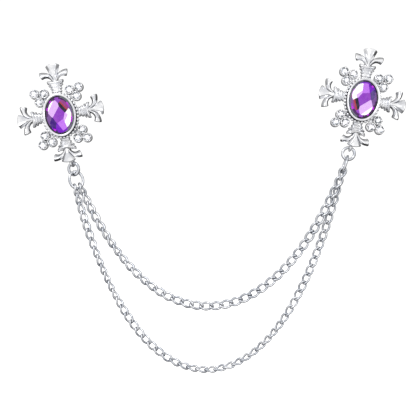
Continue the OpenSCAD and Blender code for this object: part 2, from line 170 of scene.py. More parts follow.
class Graph:
    """Builds one node tree."""

    def __init__(self, tree: bpy.types.NodeTree) -> None:
        """Takes the tree to build in, and empties it."""
        self.tree = tree
        tree.nodes.clear()

    def node(self, kind: str, inputs: dict[str | int, Any] | None = None, **settings: Any) -> bpy.types.Node:
        """Adds a node.

        Args:
            kind: The node's type name.
            inputs: Its inputs by name or number. A Value, or the first output of another node,
                is linked. Anything else is set.
            settings: Properties of the node to set.

        Returns:
            The new node.
        """
        made = self.tree.nodes.new(kind)
        for name, setting in settings.items():
            setattr(made, name, setting)
        for name, given in (inputs or {}).items():
            if isinstance(given, bpy.types.Node):
                given = self.value(given)
            if isinstance(given, Value):
                self.tree.links.new(given.socket, made.inputs[name])
            else:
                made.inputs[name].default_value = given
        return made

    def value(self, node: bpy.types.Node, output: str | int = 0) -> Value:
        """Wraps an output of a node."""
        return Value(self, node.outputs[output])

    def vector(self, x: Any, y: Any, z: Any) -> Value:
        """Joins three numbers or values into a vector."""
        return self.value(self.node("ShaderNodeCombineXYZ", {"X": x, "Y": y, "Z": z}))

    def mix(self, share: Any, a: Any, b: Any) -> Value:
        """Mixes two colours, with a share of b."""
        return self.value(self.node("ShaderNodeMix", {0: share, 6: a, 7: b}, data_type="RGBA"), 2)

    def surface(self, inputs: dict[str | int, Any]) -> None:
        """Ends a material's tree with the usual surface shader."""
        shader = self.node("ShaderNodeBsdfPrincipled", inputs)
        self.node("ShaderNodeOutputMaterial", {"Surface": shader})

    def noise(self, scale: float, detail: float = 2.0) -> Value:
        """Noise on the piece's own coordinates, about 0.5 in the middle."""
        coords = self.value(self.node("ShaderNodeTexCoord"), "Object")
        node = self.node("ShaderNodeTexNoise", {"Vector": coords, "Scale": scale, "Detail": detail})
        return self.value(node)

    def bump(self, strength: float, distance: float, height: Value) -> bpy.types.Node:
        """Fine relief on a metal, at most distance deep in millimetres."""
        deep = distance * MM
        return self.node("ShaderNodeBump", {"Strength": strength, "Distance": deep, "Height": height})


class GeometryGraph(Graph):
    """A geometry node tree with named inputs, used once on one object."""

    def __init__(self, name: str, sizes: dict[str, int | float]) -> None:
        """Makes the tree.

        Args:
            name: The tree's name.
            sizes: The values of its named inputs, whole numbers or lengths and the like.
        """
        tree = bpy.data.node_groups.new(name, "GeometryNodeTree")
        super().__init__(tree)
        tree.interface.new_socket("Geometry", in_out="INPUT", socket_type="NodeSocketGeometry")
        tree.interface.new_socket("Geometry", in_out="OUTPUT", socket_type="NodeSocketGeometry")
        self.values = {}
        for key, size in sizes.items():
            kind = "NodeSocketInt" if isinstance(size, int) else "NodeSocketFloat"
            socket = tree.interface.new_socket(key, in_out="INPUT", socket_type=kind)
            self.values[socket.identifier] = size
        self.given = self.node("NodeGroupInput")

    def size(self, name: str) -> Value:
        """One of the named inputs."""
        return self.value(self.given, name)

    def index(self) -> Value:
        """The number of the point being worked on."""
        return self.value(self.node("GeometryNodeInputIndex"))

    def move(self, points: Any, **by: Value) -> bpy.types.Node:
        """Puts points at a Position, or shifts them by an Offset."""
        return self.node("GeometryNodeSetPosition", {"Geometry": points, **by})

    def ball(self, segments: int, rings: int, radius: Value) -> bpy.types.Node:
        """A round ball."""
        return self.node("GeometryNodeMeshUVSphere", {"Segments": segments, "Rings": rings, "Radius": radius})

    def circle(self, sides: Value, radius: Any) -> bpy.types.Node:
        """A round curve with a number of corners."""
        return self.node("GeometryNodeCurvePrimitiveCircle", {"Resolution": sides, "Radius": radius})

    def finish(
        self, points: Any, copied: bpy.types.Node, material: bpy.types.Material, **more: Value
    ) -> None:
        """Ends the tree: a copy on every point, made real, smooth and with its material.

        Args:
            points: Where the copies go.
            copied: What is copied.
            material: The finish it takes.
            more: Further inputs of the node that makes the copies.
        """
        copies = self.node("GeometryNodeInstanceOnPoints", {"Points": points, "Instance": copied, **more})
        real = self.node("GeometryNodeRealizeInstances", {"Geometry": copies})
        shaded = self.node("GeometryNodeSetShadeSmooth", {"Geometry": real, "Shade Smooth": True})
        dressed = self.node("GeometryNodeSetMaterial", {"Geometry": shaded, "Material": material})
        self.node("NodeGroupOutput", {0: dressed})

    def grow(self, base: bpy.types.Mesh) -> bpy.types.Mesh:
        """Runs the tree on a mesh and gives back the plain result.

        Args:
            base: The mesh that the tree starts from.

        Returns:
            The evaluated mesh, with nothing live left on it.
        """
        holder = add_object(self.tree.name, base)
        modifier = holder.modifiers.new(self.tree.name, "NODES")
        modifier.node_group = self.tree
        for identifier, size in self.values.items():
            modifier[identifier] = size
        evaluated = holder.evaluated_get(bpy.context.evaluated_depsgraph_get())
        mesh = bpy.data.meshes.new_from_object(evaluated)
        holder.modifiers.clear()
        bpy.data.objects.remove(holder)
        return mesh


# Finishes


def new_material(name: str) -> tuple[bpy.types.Material, Graph]:
    """Makes a material and an empty tree to build it in."""
    made = bpy.data.materials.new(name)
    made.use_nodes = True
    return made, Graph(made.node_tree)


@dataclass(frozen=True)
class SilverFinish:
    """Bright silver-tone plating with a faint cast grain, and painted shade in its crevices."""

    name: str
    light: Colour = (0.985, 0.985, 0.99)
    shade: Colour = (0.9, 0.905, 0.92)
    # painted shade: the colour laid in crevices and where parts nearly touch
    painted_shade: Colour = (0.3, 0.31, 0.34)
    roughness: tuple[float, float] = (0.1, 0.2)
    grain: float = 0.05
    # how far, in millimetres, the occlusion that lays the painted shade looks
    painted_shade_reach: float = 0.45
    cloud_scale: float = 420.0
    gloss_scale: float = 900.0
    grain_scale: float = 3200.0

    def material(self) -> bpy.types.Material:
        """Builds the material.

        Returns:
            A metal whose tone and gloss vary, with painted shade darkening its crevices and the places where
            parts nearly touch.
        """
        made, g = new_material(self.name)
        cloud = g.noise(self.cloud_scale, 3.0).ramp(0.35, 0.65)
        plated = g.mix(cloud, to_linear(self.shade), to_linear(self.light))
        # Painted shade: occlusion mixes the colour towards the painted shade colour in crevices, grooves and
        # where wires cross.
        painted_shade_mask = g.node("ShaderNodeAmbientOcclusion", {"Distance": self.painted_shade_reach * MM}, samples=8)
        tone = g.mix(g.value(painted_shade_mask, "AO").ramp(0.25, 0.75), to_linear(self.painted_shade), plated)
        gloss = g.noise(self.gloss_scale).ramp(0.3, 0.7, *self.roughness)
        bump = g.bump(self.grain, 0.05, g.noise(self.grain_scale))
        g.surface({"Base Color": tone, "Metallic": 1.0, "Roughness": gloss, "Normal": bump})
        return made


@dataclass(frozen=True)
class SteelFinish:
    """Plain steel, drawn along the pin."""

    name: str = "drawn_steel"
    light: Colour = (0.86, 0.87, 0.89)
    shade: Colour = (0.7, 0.71, 0.73)
    roughness: tuple[float, float] = (0.22, 0.38)
    drawing: Point = (60.0, 2200.0, 2200.0)

    def material(self) -> bpy.types.Material:
        """Builds the material.

        Returns:
            A duller metal with fine drawing lines.
        """
        made, g = new_material(self.name)
        coords = g.value(g.node("ShaderNodeTexCoord"), "Object")
        drawn = g.node("ShaderNodeMapping", {"Vector": coords, "Scale": self.drawing})
        lines = g.value(g.node("ShaderNodeTexNoise", {"Vector": drawn, "Scale": 1.0}))
        tone = g.mix(lines.ramp(0.3, 0.7), to_linear(self.shade), to_linear(self.light))
        gloss = lines.ramp(0.3, 0.7, *self.roughness)
        bump = g.bump(0.08, 0.02, lines)
        g.surface({"Base Color": tone, "Metallic": 1.0, "Roughness": gloss, "Normal": bump})
        return made


@dataclass(frozen=True)
class StoneFinish:
    """A foiled cut stone: each facet has a painted tone, the colour that the foil throws back through it
    together with painted reflections, highlights and shade.
    """

    name: str
    # colour and largest share of the painted glints laid over the facets, and the size of their patches
    glint_tint: Colour
    glint_share: float = 0.12
    glint_scale: float = 700.0
    roughness: float = 0.06
    coat: float = 0.12
    coat_roughness: float = 0.03
    shine: float = 0.22

    def material(self) -> bpy.types.Material:
        """Builds the material.

        Returns:
            A glossy shader that reads the facets' painted tones from the mesh and lays faint painted glints
            over them.
        """
        made, g = new_material(self.name)
        facet = g.value(g.node("ShaderNodeAttribute", attribute_name=TONE), "Color")
        # Painted glints: pale patches of the glint colour laid over the facets by noise.
        painted_glints = g.noise(self.glint_scale, 1.0).ramp(0.35, 0.7, 0.0, self.glint_share)
        tone = g.mix(painted_glints, facet, to_linear(self.glint_tint))
        g.surface(
            {
                "Base Color": tone,
                "Roughness": self.roughness,
                "Coat Weight": self.coat,
                "Coat Roughness": self.coat_roughness,
                "Specular IOR Level": self.shine,
            }
        )
        return made


@dataclass(frozen=True)
class PaperFinish:
    """The pale sheet that the chain hangs over."""

    name: str = "pale_paper"
    light: Colour = (0.99, 0.99, 0.99)
    shade: Colour = (0.96, 0.96, 0.965)
    glow: float = 0.75
    roughness: float = 0.9

    def material(self) -> bpy.types.Material:
        """Builds the material.

        Returns:
            A matt sheet, evenly lit.
        """
        made, g = new_material(self.name)
        tone = g.mix(g.noise(9.0, 4.0).ramp(0.3, 0.7), to_linear(self.shade), to_linear(self.light))
        g.surface(
            {
                "Base Color": tone,
                "Roughness": self.roughness,
                "Emission Color": (1, 1, 1, 1),
                "Emission Strength": self.glow,
            }
        )
        return made


WIRE_PLATING = SilverFinish(
    "wire_plating",
    light=(0.925, 0.93, 0.945),
    shade=(0.76, 0.775, 0.805),
    # darker painted shade, reaching further, for where the chain's links cross
    painted_shade=(0.2, 0.21, 0.24),
    roughness=(0.08, 0.16),
    grain=0.02,
    painted_shade_reach=0.5,
)


class Finish(Enum):
    """The finishes, each with the name of its material slot."""

    CAST = ("cast_silver", SilverFinish("cast_plating"))
    WIRE = ("wire_silver", WIRE_PLATING)
    STEEL = ("pin_steel", SteelFinish())
    # The stones' painted glints: faint on the violet stone, stronger on the clear ones.
    VIOLET = ("violet_stone", StoneFinish("violet_foiled", glint_tint=(0.93, 0.8, 1.0), glint_share=0.03))
    CLEAR = ("clear_stone", StoneFinish("clear_foiled", glint_tint=(1.0, 1.0, 1.0), glint_share=0.16))

    @property
    def slot(self) -> str:
        """Name of the finish's material slot."""
        return self.value[0]

    def material(self) -> bpy.types.Material:
        """The finish's material, made once."""
        return bpy.data.materials.get(self.value[1].name) or self.value[1].material()


# Meshes


class Shape:
    """Points and faces in millimetres that grow into one mesh."""

    def __init__(self) -> None:
        """Starts empty."""
        self.points: list[Vector] = []
        self.faces: list[list[int]] = []

    def skin(self, rings: Sequence[Sequence[Vector]], closed: bool = False) -> "Shape":
        """Stretches a skin over rings with the same number of points.

        Args:
            rings: The rings, in order.
            closed: Whether the last ring joins the first, or a face closes each end.

        Returns:
            This shape.
        """
        start, count = len(self.points), len(rings[0])
        for ring in rings:
            self.points.extend(Vector(p) for p in ring)
        for r in range(len(rings) if closed else len(rings) - 1):
            a, b = start + r * count, start + (r + 1) % len(rings) * count
            for i in range(count):
                j = (i + 1) % count
                self.faces.append([a + i, a + j, b + j, b + i])
        if not closed:
            self.faces.append([start + i for i in reversed(range(count))])
            self.faces.append([start + (len(rings) - 1) * count + i for i in range(count)])
        return self

    def add(self, other: "Shape", place: Matrix | None = None) -> "Shape":
        """Adds another shape.

        Args:
            other: The shape to add.
            place: Where it goes; as it is when left out.

        Returns:
            This shape.
        """
        start = len(self.points)
        self.points.extend(place @ p if place else p.copy() for p in other.points)
        self.faces.extend([start + i for i in face] for face in other.faces)
        return self

    def mesh(self, name: str, smooth_below: float = 40.0) -> bpy.types.Mesh:
        """Makes the mesh, with its faces turned outwards.

        Args:
            name: The mesh's name.
            smooth_below: Edges bent less than this many degrees are smooth.

        Returns:
            The mesh, in metres.
        """
        mesh = bpy.data.meshes.new(name)
        mesh.from_pydata([p * MM for p in self.points], [], self.faces)
        return finish_mesh(mesh, smooth_below)


def finish_mesh(mesh: bpy.types.Mesh, smooth_below: float) -> bpy.types.Mesh:
    """Merges doubles, turns the faces outwards and marks the sharp edges.

    Args:
        mesh: The mesh to finish.
        smooth_below: Edges bent less than this many degrees are smooth.

    Returns:
        The same mesh.
    """
    bm = bmesh.new()
    bm.from_mesh(mesh)
    bmesh.ops.remove_doubles(bm, verts=bm.verts, dist=0.002 * MM)
    bmesh.ops.recalc_face_normals(bm, faces=bm.faces)
    for edge in bm.edges:
        bent = edge.calc_face_angle(0.0) if len(edge.link_faces) == 2 else 0.0
        edge.smooth = bent < math.radians(smooth_below)
    for face in bm.faces:
        face.smooth = smooth_below > 0
    bm.to_mesh(mesh)
    bm.free()
    return mesh


def join_meshes(name: str, meshes: Iterable[bpy.types.Mesh]) -> bpy.types.Mesh:
    """Puts several meshes into one.

    Args:
        name: The new mesh's name.
        meshes: The meshes, which are removed.

    Returns:
        The joined mesh.
    """
    bm = bmesh.new()
    for part in meshes:
        bm.from_mesh(part)
        bpy.data.meshes.remove(part)
    joined = bpy.data.meshes.new(name)
    bm.to_mesh(joined)
    bm.free()
    return joined


def oval(half_w: float, half_h: float, out: float, height: float, sides: int) -> list[Vector]:
    """Oval ring round the brooch's middle, moved out by out, at a height above the back."""
    return [flat(t, half_w + out, half_h + out) + Vector((0, -height, 0)) for t in turns(sides)]


def wire(loop: Sequence[Vector], thick: float | Callable[[int], float], sides: int) -> Shape:
    """Round wire along a closed loop of points.

    Args:
        loop: Its centre line.
        thick: The wire's thickness, or what gives it at each point.
        sides: Sides of the wire's section.

    Returns:
        The wire.
    """
    middle = sum(loop, Vector()) / len(loop)
    rings = []
    for k, at in enumerate(loop):
        along = (loop[(k + 1) % len(loop)] - loop[k - 1]).normalized()
        side = along.cross(at - middle).normalized()
        up = side.cross(along)
        half = (thick(k) if callable(thick) else thick) / 2
        rings.append([at + half * (math.cos(a) * side + math.sin(a) * up) for a in turns(sides)])
    return Shape().skin(rings, closed=True)


def lathe(profile: Sequence[tuple[float, float]], sides: int, at: Vector) -> Shape:
    """Turns a closed profile about a front-to-back axis.

    Args:
        profile: Its corners as (radius, height above the back), all with a radius above 0.
        sides: Number of sides.
        at: The axis's foot on the back.

    Returns:
        A ring with that section.
    """
    rings = [
        [Vector((at.x + r * math.cos(t), at.y - h, at.z + r * math.sin(t))) for r, h in profile]
        for t in turns(sides)
    ]
    return Shape().skin(rings, closed=True)


def place_piece(name: str, mesh: bpy.types.Mesh, finish: Finish, nodes: Sequence[str]) -> None:
    """Adds a finished piece to the scene and ties it to the frame.

    Args:
        name: The piece's name.
        mesh: Its mesh, in place.
        finish: Its finish.
        nodes: The CAD nodes that it stands for.
    """
    if not mesh.materials:
        mesh.materials.append(finish.material())
    mesh.name = name
    piece = add_object(name, mesh)
    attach(piece, BODY)
    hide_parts(*nodes)
    mesh.calc_loop_triangles()
    log.info("%s: %d triangles, %s", name, len(mesh.loop_triangles), finish.slot)


# Where things go


@dataclass(frozen=True)
class Station:
    """Where one brooch stands, and how the rings below it hang."""

    hand: str
    middle: Vector
    lean: float
    side: int
    pull: float
    ring_turn: float
    joiner_turn: float

    def matrix(self) -> Matrix:
        """From the brooch's own frame to the part's, in millimetres."""
        return Matrix.Translation(self.middle) @ Matrix.Rotation(math.radians(self.lean), 4, "Y")

    def metres(self) -> Matrix:
        """The same move for a mesh in metres."""
        return Matrix.Translation(self.middle * MM) @ Matrix.Rotation(math.radians(self.lean), 4, "Y")

    def pull_dir(self) -> Vector:
        """Unit vector along which the rings hang."""
        a = math.radians(self.pull)
        return Vector((self.side * math.sin(a), 0, -math.cos(a)))

    def cross_dir(self) -> Vector:
        """Unit vector across the joining link."""
        a = math.radians(self.joiner_turn)
        return math.cos(a) * self.pull_dir().cross(Vector((0, 1, 0))) + math.sin(a) * Vector((0, 1, 0))

    def name(self, piece: str) -> str:
        """A piece's name with the hand in front."""
        return f"{self.hand}_{piece}"


PIN_STEM_Y = 3.2
ARMS_UP = 0.6
SPAN = 124.0
RISE = 6.3
LEAN = 10.0
LEFT_MIDDLE = Vector(
    (ARMS_UP * math.sin(math.radians(LEAN)), -PIN_STEM_Y, -ARMS_UP * math.cos(math.radians(LEAN)))
)
LEFT = Station("left", LEFT_MIDDLE, -LEAN, 1, 13.0, -26.0, 34.0)
RIGHT = Station("right", LEFT_MIDDLE + Vector((SPAN, 0, RISE)), LEAN, -1, 18.5, 0.0, 88.0)


# The casting


@dataclass
class Bezel:
    """Oval cup with its lip, on the flange that carries the beads."""

    stone_w: float = 12.0
    stone_h: float = 16.0
    wall: float = 0.45
    gap: float = 0.15
    lip_cover: float = 0.28
    lip_under: float = 4.67
    lip_top: float = 5.12
    flange_out: float = 0.5
    flange_t: float = 1.8
    floor_t: float = 1.0
    sides: int = 160

    @property
    def flange_r(self) -> float:
        """How far the flange reaches out from the stone's edge."""
        return self.wall + self.gap + self.flange_out

    def rim(self, turn: float, out: float) -> Vector:
        """Point at a turn in radians, on the stone's oval moved out by out."""
        return flat(turn, self.stone_w / 2 + out, self.stone_h / 2 + out)

    def shape(self) -> Shape:
        """Lofts the cup.

        Returns:
            A closed cup with a rounded lip and a soft foot.
        """
        outer = self.gap + self.wall
        profile = [
            (self.flange_r - 0.15, 0.0),
            (self.flange_r, 0.12),
            (self.flange_r, self.flange_t - 0.15),
            (self.flange_r - 0.12, self.flange_t),
            (outer + 0.22, self.flange_t + 0.05),
            (outer + 0.06, self.flange_t + 0.35),
            (outer, self.flange_t + 1.0),
            (outer, self.lip_top - 0.75),
            (outer + 0.14, self.lip_top - 0.55),
            (outer + 0.2, self.lip_top - 0.35),
            (outer + 0.12, self.lip_top - 0.1),
            (outer - 0.1, self.lip_top),
            (outer - 0.34, self.lip_top - 0.01),
            (self.gap - 0.02, self.lip_top - 0.07),
            (-self.lip_cover + 0.03, self.lip_under + 0.1),
            (-self.lip_cover, self.lip_under + 0.04),
            (-self.lip_cover + 0.06, self.lip_under),
            (self.gap, self.lip_under - 0.2),
            (self.gap, self.floor_t),
        ]
        rings = [oval(self.stone_w / 2, self.stone_h / 2, out, h, self.sides) for out, h in profile]
        return Shape().skin(rings)


@dataclass
class BeadBorder:
    """Round beads set evenly on the flange round the cup."""

    bezel: Bezel
    bead_d: float = 1.34
    count: int = 36
    segments: int = 18
    rings: int = 12
    tuck: float = 0.15
    rise: float = 0.42

    def mesh(self, name: str) -> bpy.types.Mesh:
        """Grows the beads with geometry nodes.

        Args:
            name: The tree's name.

        Returns:
            The beads in the brooch's own frame, in metres.
        """
        out = self.bezel.gap + self.bezel.wall + self.bead_d / 2 - self.tuck
        w, h = self.bezel.stone_w, self.bezel.stone_h
        g = GeometryGraph(
            name,
            {
                "Beads": self.count,
                "Half Width": (w / 2 + out) * MM,
                "Half Height": (h / 2 + out) * MM,
                "Evening": math.radians(90 / math.pi * (h - w) / (h + w + 4 * out)),
                "Above Back": (self.bezel.flange_t + self.bead_d * self.rise) * MM,
                "Bead Radius": self.bead_d / 2 * MM,
            },
        )
        spots = g.node("GeometryNodePoints", {"Count": g.size("Beads")})
        turn = g.index() / g.size("Beads") * (2 * math.pi)
        even_turn = turn - g.size("Evening") * (turn * 2.0).sin()
        across, up = g.size("Half Width") * even_turn.cos(), g.size("Half Height") * even_turn.sin()
        set_at = g.move(spots, Position=g.vector(across, -g.size("Above Back"), up))
        g.finish(set_at, g.ball(self.segments, self.rings, g.size("Bead Radius")), Finish.CAST.material())
        return g.grow(bpy.data.meshes.new(name))


# A petal's flank from its foot up: share of its slope in from the edge, share of its height
FLANK = ((0.0, 0.0), (0.08, 0.1), (0.8, 0.86), (0.93, 0.97), (1.0, 1.0))


@dataclass(frozen=True)
class Petal:
    """A cast petal with a hollow face between two sloping flanks.

    The spine is guided by three points given as (aside, out) shares of the length. The width
    starts at the root's share of it and opens out by the power of flare. The lift raises the
    flanks' feet above back, at the root and at the tip, in shares of thick.
    """

    length: float
    width: float
    spine: tuple[tuple[float, float], tuple[float, float], tuple[float, float]]
    root: float
    flare: float
    lift: tuple[float, float]
    bevel: float
    fan: float = 6.0
    thick: float = 1.3
    dish: float = 0.3
    back: float = 0.5
    rows: int = 40

    def spine_at(self, s: float) -> tuple[Vector, Vector]:
        """Point and direction of the spine.

        Args:
            s: Share of the length.

        Returns:
            The point in millimetres and the unit direction, both in the arm's plane.
        """
        a, b, c = (Vector((p[0], 0, p[1])) * self.length for p in self.spine)
        at = (1 - s) ** 2 * a + 2 * s * (1 - s) * b + s * s * c
        along = ((1 - s) * (b - a) + s * (c - b)).normalized()
        return at, along

    def section(self, s: float, shrink: float) -> list[Vector]:
        """One section across the petal.

        Args:
            s: Share of the length.
            shrink: Share of the section that is left, for the rounded tip.

        Returns:
            Points of the closed section, front first.
        """
        at, along = self.spine_at(s)
        across = Vector((along.z, 0, -along.x))
        half = self.width / 2 * (self.root + (1 - self.root) * s**self.flare) * (0.75 + 0.25 * shrink)
        slope = min(self.bevel, half * 0.75)
        foot = self.back + self.thick * (self.lift[0] + (self.lift[1] - self.lift[0]) * s)
        high = self.thick * math.sqrt(slope / self.bevel) * (0.35 + 0.65 * shrink)
        dip = self.dish * smooth_step(0.3, 0.8, s) * shrink
        flank = [(half - slope * t, foot + high * h) for t, h in FLANK]
        face = [((half - slope) * u / 5, foot + high - dip * (1 - (u / 5) ** 2)) for u in range(4, -5, -1)]
        under = [(half * u, foot - self.thick * 0.3) for u in (-0.86, -0.4, 0.4, 0.86)]
        ring = [*flank, *face, *((-x, h) for x, h in reversed(flank)), *under]
        return [at + across * x - along * s * x * x / (2 * self.fan) + Vector((0, -h, 0)) for x, h in ring]

    def shape(self) -> Shape:
        """Lofts the petal along its spine.

        Returns:
            The closed petal, its foot at the arm's origin.
        """
        rings = []
        for r in range(self.rows):
            s = 1 - (1 - r / (self.rows - 1)) ** 1.35
            rings.append(self.section(s, math.sqrt(1 - 0.8 * max(0.0, (s - 0.93) / 0.07) ** 2.2)))
        return Shape().skin(rings)


@dataclass(frozen=True)
class Arm:
    """One arm of the cross: ribbed neck, collar and three petals."""

    turn: float
    start: float
    neck_len: float
    collar_w: float
    petal_len: float
    neck_w: float = 4.0
    neck_t: float = 1.5
    collar_d: float = 1.5
    petal_w: float = 6.2
    side_len: float = 6.1
    side_w: float = 3.3
    collar_gap: float = 0.6
    bow: float = 9.0
    rib_pitch: float = 1.25
    groove: float = 0.42

    def neck_section(self, z: float, half: float, deep: float) -> list[Vector]:
        """One closed section of the neck, bowed towards the stone.

        Args:
            z: How far out it lies.
            half: Its half width.
            deep: How far its front stands above the back.

        Returns:
            Its points.
        """
        ring = []
        count = 30
        for k in range(count + 1):
            t = math.pi * k / count
            x = half * math.copysign(abs(math.cos(t)) ** 0.8, math.cos(t))
            ring.append(Vector((x, -0.15 - deep * math.sin(t) ** 0.62, z + x * x / (2 * self.bow))))
        for c in (-0.6, 0.0, 0.6):
            x = half * c
            ring.append(Vector((x, -0.15, z + x * x / (2 * self.bow))))
        return ring

    def flare(self, z: float) -> float:
        """Half width of the neck at a place along it, without its ridges."""
        wider = self.collar_w * 0.41 - self.neck_w / 2
        return self.neck_w / 2 + wider * max(0.0, (z - 0.2) / self.neck_len)

    def ridges(self) -> list[tuple[float, float, float, float]]:
        """The collar's two ridges and the wraps of the neck.

        Returns:
            For each its place, its half length, its front's height and its half width.
        """
        second = self.neck_len - self.collar_d / 2 - 0.6
        found = [
            (self.neck_len, self.collar_d / 2, self.neck_t + 0.8, self.collar_w / 2),
            (second, 0.42, self.neck_t + 0.4, self.collar_w * 0.44),
        ]
        at = second - 0.5 - self.rib_pitch / 2
        while at > -0.6:
            found.append((at, self.rib_pitch * 0.43, self.neck_t + 0.25, self.flare(at) + 0.1))
            at -= self.rib_pitch
        return found

    def neck(self) -> Shape:
        """Lofts the flared neck with its wraps and its collar.

        Returns:
            The closed neck.
        """
        rings = []
        first, last, rows = -1.1, self.neck_len + self.collar_d / 2, 120
        for r in range(rows):
            z = first + (last - first) * r / (rows - 1)
            half, deep = self.flare(z) - self.groove, self.neck_t - self.groove * 0.2
            for at, reach, top, side in self.ridges():
                swell = math.sqrt(max(0.0, 1 - ((z - at) / reach) ** 2))
                half = max(half, side - (1 - swell) * self.groove) if swell else half
                deep = max(deep, top * swell**0.7)
            rings.append(self.neck_section(z, half, deep))
        return Shape().skin(rings)

    def petals(self) -> Shape:
        """The middle petal and the two side petals.

        Returns:
            The three petals in the arm's frame.
        """
        middle = Petal(
            self.petal_len,
            self.petal_w,
            ((0.0, 0.0), (0.0, 0.5), (0.0, 1.0)),
            root=0.28,
            flare=1.15,
            lift=(0.25, 0.5),
            bevel=1.15,
        )
        aside = Petal(
            self.side_len,
            self.side_w,
            ((0.08, 0.03), (0.34, 0.64), (0.94, 0.47)),
            root=0.42,
            flare=1.6,
            lift=(0.15, 0.5),
            bevel=0.7,
        )
        foot = Matrix.Translation((0, 0, self.neck_len + self.collar_gap))
        shape = Shape().add(middle.shape(), foot)
        side = aside.shape()
        shape.add(side, foot)
        shape.add(side, foot @ Matrix.Diagonal((-1, 1, 1, 1)))
        return shape

    def meshes(self, name: str) -> list[bpy.types.Mesh]:
        """Makes the arm's meshes in the brooch's own frame.

        Args:
            name: Base of the meshes' names.

        Returns:
            The neck, its stub and the petals as separate closed shells.
        """
        place = (
            Matrix.Translation((0, 0, ARMS_UP))
            @ Matrix.Rotation(math.radians(self.turn), 4, "Y")
            @ Matrix.Translation((0, 0, self.start))
        )
        stub = []
        for r in range(12):
            z = self.neck_len - 0.3 + (self.collar_gap + 1.2) * r / 11
            thick = self.collar_d * (0.65 - 0.2 * r / 11)
            stub.append([Vector((thick * math.cos(t), -1.15 + thick * math.sin(t), z)) for t in turns(20)])
        parts = {"neck": self.neck(), "stub": Shape().skin(stub), "petals": self.petals()}
        return [
            Shape().add(part, place).mesh(f"{name}_{key}", 36.0 if key == "petals" else 55.0)
            for key, part in parts.items()
        ]


# The brooch's four quarters, in the order of the CAD's nodes
QUARTERS = ((-1, 1), (1, 1), (-1, -1), (1, -1))


@dataclass
class Cluster:
    """Three collets on a plate that stems from the flange."""

    bezel: Bezel
    chip_d: float = 2.8
    gap: float = 0.1
    wall: float = 0.4
    height: float = 2.6
    floor_h: float = 1.4
    plate_t: float = 0.9
    ring_r: float = 2.25
    out: float = 3.65
    turn: float = 38.0
    root: float = 50.0
    stem_w: float = 2.2
    claws: int = 4
    claw_d: float = 0.98
    claw_flat: float = 0.72

    def middle(self) -> Vector:
        """The cluster's middle, in the upper right quarter of the brooch."""
        foot = self.bezel.rim(math.radians(self.root), self.bezel.flange_r)
        return foot + self.out * flat(math.radians(self.turn))

    def chip_at(self, k: int) -> Vector:
        """Foot of the collet number k on the back."""
        return self.middle() + self.ring_r * flat(math.radians(self.turn + 120 * k))

    def spots(self) -> list[Vector]:
        """Feet of all twelve collets, in the order of the CAD's nodes."""
        return [
            Vector((x * self.chip_at(k).x, 0, z * self.chip_at(k).z))
            for x, z in QUARTERS
            for k in range(3)
        ]

    def collets(self) -> Shape:
        """The twelve cups with their foot discs.

        Returns:
            The cups as closed rings with a floor.
        """
        hole = self.chip_d / 2 + self.gap
        outer = hole + self.wall
        profile = [
            (0.02, 0.1),
            (outer + 0.1, 0.1),
            (outer + 0.15, 0.2),
            (outer + 0.15, self.plate_t - 0.1),
            (outer + 0.08, self.plate_t),
            (outer, self.plate_t + 0.08),
            (outer, self.height - 0.45),
            (outer + 0.04, self.height - 0.3),
            (outer - 0.02, self.height - 0.08),
            (outer - 0.13, self.height),
            (hole + 0.08, self.height - 0.03),
            (hole, self.height - 0.12),
            (hole, self.floor_h),
            (0.02, self.floor_h),
        ]
        shape = Shape()
        for spot in self.spots():
            shape.add(lathe(profile, 48, spot))
        return shape

    def stems(self) -> Shape:
        """The four rounded stems between the flange and the plates.

        Returns:
            The closed stems.
        """
        sunk, rows = 1.2, 8
        root = self.bezel.rim(math.radians(self.root), self.bezel.flange_r - sunk)
        along = flat(math.radians(self.turn))
        across = Vector((-along.z, 0, along.x))
        section = [
            across * self.stem_w / 2 * math.copysign(abs(math.cos(t)) ** 0.5, math.cos(t))
            + Vector((0, -0.48 - 0.3 * math.copysign(abs(math.sin(t)) ** 0.6, math.sin(t)), 0))
            for t in turns(24)
        ]
        stem = Shape().skin(
            [[root + along * (self.out + sunk) * r / (rows - 1) + p for p in section] for r in range(rows)]
        )
        shape = Shape()
        for x, z in QUARTERS:
            shape.add(stem, Matrix.Diagonal((x, 1, z, 1)))
        return shape

    def claw_mesh(self, name: str) -> bpy.types.Mesh:
        """Grows the claws round every stone with geometry nodes.

        Args:
            name: The tree's name.

        Returns:
            The claws in the brooch's own frame, in metres.
        """
        base = bpy.data.meshes.new(name)
        inner = self.chip_d / 2 + self.gap * 0.6
        feet = []
        for spot in self.spots():
            towards = math.atan2(spot.z, spot.x)
            for c in range(self.claws):
                feet.append((spot + inner * flat(towards + math.pi * 2 * (c + 0.5) / self.claws)) * MM)
        base.from_pydata(feet, [], [])
        g = GeometryGraph(
            name,
            {
                "Claw Radius": self.claw_d / 2 * MM,
                "Claw Top": (self.height - 0.02) * MM,
                "Flatness": self.claw_flat,
            },
        )
        squash = g.vector(1.0, g.size("Flatness"), 1.0)
        grain = g.ball(12, 8, g.size("Claw Radius"))
        pressed = g.node("GeometryNodeTransform", {"Geometry": grain, "Scale": squash})
        lifted = g.move(g.value(g.given, "Geometry"), Offset=g.vector(0.0, -g.size("Claw Top"), 0.0))
        g.finish(lifted, pressed, Finish.CAST.material())
        return g.grow(base)


